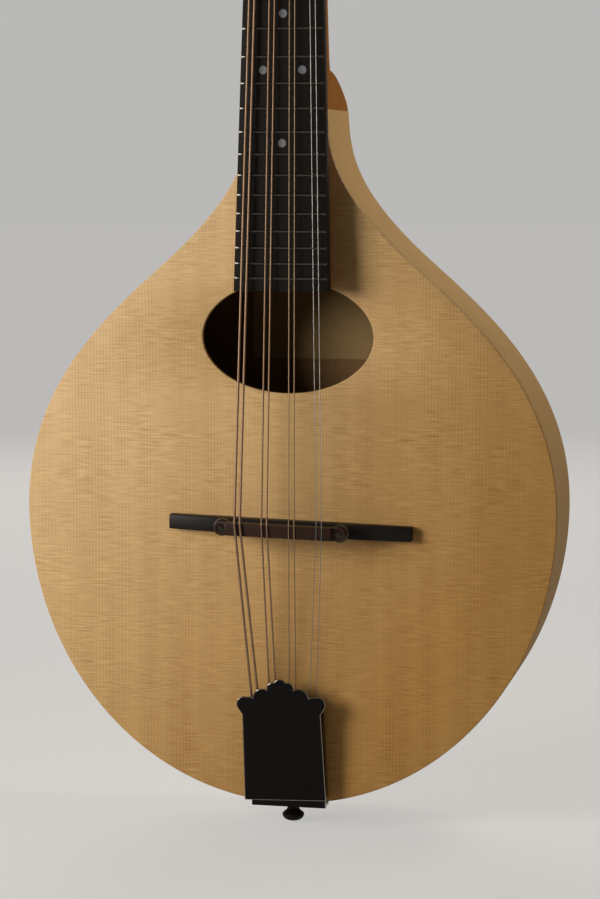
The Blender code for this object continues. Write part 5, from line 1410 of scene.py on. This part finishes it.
def string_pieces(number, side, height):
    radius = string_radius(number)
    at_saddle, at_nut, at_tail = string_x(number)
    finish = WOUND_HEAVY if number <= 4 else WOUND_LIGHT if number <= 6 else STEEL
    hook = (at_tail, LIP_FRONT + 0.0012 - radius, HOOK_Z + 0.0030)
    lip = (at_tail, LIP_FRONT - CLEAR - radius, (LEAN @ Vector((at_tail, 0.0, LEAN_PIVOT - LIP))).z)
    rest = BRIDGE_PLACE @ Vector((at_saddle, SADDLE_TOP - CLEAR - radius, BEARING_LINE))
    nut_front = NECK_PLACE @ Vector((at_nut, SLOT_FLOOR - radius, GAP))
    nut_back = NECK_PLACE @ Vector((at_nut, SLOT_FLOOR + 0.0005 - radius, 0.0036))
    coil = turns_round_post(side, height, radius)
    tail = wire(f"string_{number}_tail", spaced([hook, lip, rest], 0.006), radius, finish)
    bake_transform(tail)
    path = spaced([rest, nut_front, nut_back, coil[0]], 0.012)
    sounding = wire(f"string_{number}_sounding", path, radius, finish)
    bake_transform(sounding)
    wound_up = wire(f"string_{number}_turns", coil, radius, finish)
    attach(wound_up, f"post_{number}")
    for piece in (tail, sounding, wound_up):
        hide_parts(f"string_{number}")


for number, side, height in POSTS:
    string_pieces(number, side, height)
print("strings:", len(POSTS))

# %% [markdown]
# Each string ends in a loop, twisted back on itself, which drops over its hook. It is one wire: once round an
# oval, then four turns of a tight helix along the string.

# %% Loop ends
LOOP_Y, LOOP_HALF_WIDTH, LOOP_HALF_LENGTH = -0.0052, 0.00155, 0.0021
TWIST_RADIUS, TWIST_LENGTH, TWIST_RISE = 0.0006, 0.0080, 0.0015


def loop_path(x):
    points = []
    for i in range(29):
        a = math.tau * i / 28 + QUARTER
        points.append((x + LOOP_HALF_WIDTH * math.cos(a), LOOP_Y, HOOK_Z + 0.0002 + LOOP_HALF_LENGTH * math.sin(a)))
    for i in range(25):
        a = math.tau * i / 6
        y = LOOP_Y - 0.0003 - TWIST_RISE * i / 24 + TWIST_RADIUS * math.sin(a)
        points.append((x + TWIST_RADIUS * math.cos(a), y, HOOK_Z + 0.0024 + TWIST_LENGTH * i / 24))
    return points


for number in range(1, 9):
    radius = min(string_radius(number), 0.00035)
    loop = wire(f"string_{number}_loop", loop_path(string_x(number)[2]), radius, STEEL, 10)
    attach(loop, "body")
    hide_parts(f"string_{number}")

# %% [markdown]
#
# The floor is a wide pale disc, and the instrument is held with its end pin just above it. There is no wall,
# which would hide the back from a camera behind it: the room beyond the floor has the floor's own colour, so no
# horizon shows. Floor and room look pale to the eye and in reflections, but give little light of their own: the
# Light Path node tells one kind of ray from the other.

# %% The floor
PALE, PALE_SHARE = (0.86, 0.85, 0.83, 1.0), 0.55
FLOOR_BELOW_TAIL, FLOOR_RADIUS = 0.0130, 14.0


def seen_rays(tree):
    """One for rays that go to the eye, directly or off a shiny or clear surface, and zero for light on its way."""
    calc, path = calculator(tree), add_node(tree, "ShaderNodeLightPath").outputs
    either = calc("MAXIMUM", path["Is Camera Ray"], path["Is Glossy Ray"])
    return calc("MAXIMUM", either, path["Is Transmission Ray"])


def pale_floor():
    bm = bmesh.new()
    bm.faces.new([bm.verts.new((x, y, TAIL_Z - FLOOR_BELOW_TAIL)) for x, y in circle((0, 0), FLOOR_RADIUS, 96)])
    obj = object_from("floor", bm)
    constants = {"Base Color": (0.62, 0.60, 0.57, 1.0), "Roughness": 0.85}
    made, tree, shader = new_material("pale floor", constants)
    glow = add_node(tree, "ShaderNodeEmission", {"Color": PALE, "Strength": 1.0}).outputs[0]
    share = calculator(tree)("MULTIPLY", seen_rays(tree), PALE_SHARE)
    both = add_node(tree, "ShaderNodeMixShader", {0: share, 1: shader.outputs[0], 2: glow}).outputs[0]
    fill(tree, tree.nodes["Material Output"], {"Surface": both})
    obj.data.materials.append(made)


pale_floor()

# %% [markdown]
# One broad soft lamp stands close on the bass side. Its beam is narrowed, so that the light falls off across the
# top and the fretboard throws its shadow on the treble side. A weak warm lamp fills that side, a small one
# behind the treble rib keeps the rib from going grey, and a fourth lights the back and the floor behind. The
# air of the room adds a little warm light from everywhere.


# %% Lamps and room
def lamp(name, spot, target, size, power, colour, spread=180):
    data = bpy.data.lights.new(name, "AREA")
    data.shape, data.size = "DISK", size
    data.energy, data.color = power, colour
    data.spread = math.radians(spread)
    obj = new_object(name, data)
    obj.location = spot
    obj.rotation_euler = (Vector(target) - Vector(spot)).to_track_quat("-Z", "Y").to_euler()


def set_room():
    room = bpy.data.worlds.new("room")
    bpy.context.scene.world = room
    room.use_nodes = True
    tree = room.node_tree
    strength = calculator(tree)("MULTIPLY_ADD", seen_rays(tree), 0.25, 0.05)
    air = fill(tree, tree.nodes["Background"], {"Color": (1.0, 0.90, 0.78, 1.0), "Strength": strength}).outputs[0]
    beyond = add_node(tree, "ShaderNodeBackground", {"Color": PALE, "Strength": PALE_SHARE + 0.02}).outputs[0]
    eye = add_node(tree, "ShaderNodeLightPath").outputs["Is Camera Ray"]
    view = add_node(tree, "ShaderNodeMixShader", {0: eye, 1: air, 2: beyond}).outputs[0]
    fill(tree, tree.nodes["World Output"], {"Surface": view})


lamp("key", (-0.70, -0.62, -0.18), (-0.07, 0.0, -0.28), 0.50, 2.15, (1.0, 0.97, 0.92), spread=80)
lamp("fill", (1.50, -0.40, -0.10), (0.0, 0.0, -0.42), 0.90, 0.95, (1.0, 0.86, 0.68))
lamp("side", (0.30, 0.16, -0.02), (0.05, 0.03, -0.24), 0.18, 0.76, (1.0, 0.92, 0.80))
lamp("back", (-0.5, 1.5, 0.4), (0.0, 0.0, -0.30), 1.0, 9.0, (1.0, 0.95, 0.88))
set_room()
bpy.context.scene.view_settings.view_transform = "Standard"
print("lamps:", [light.name for light in bpy.data.lights])
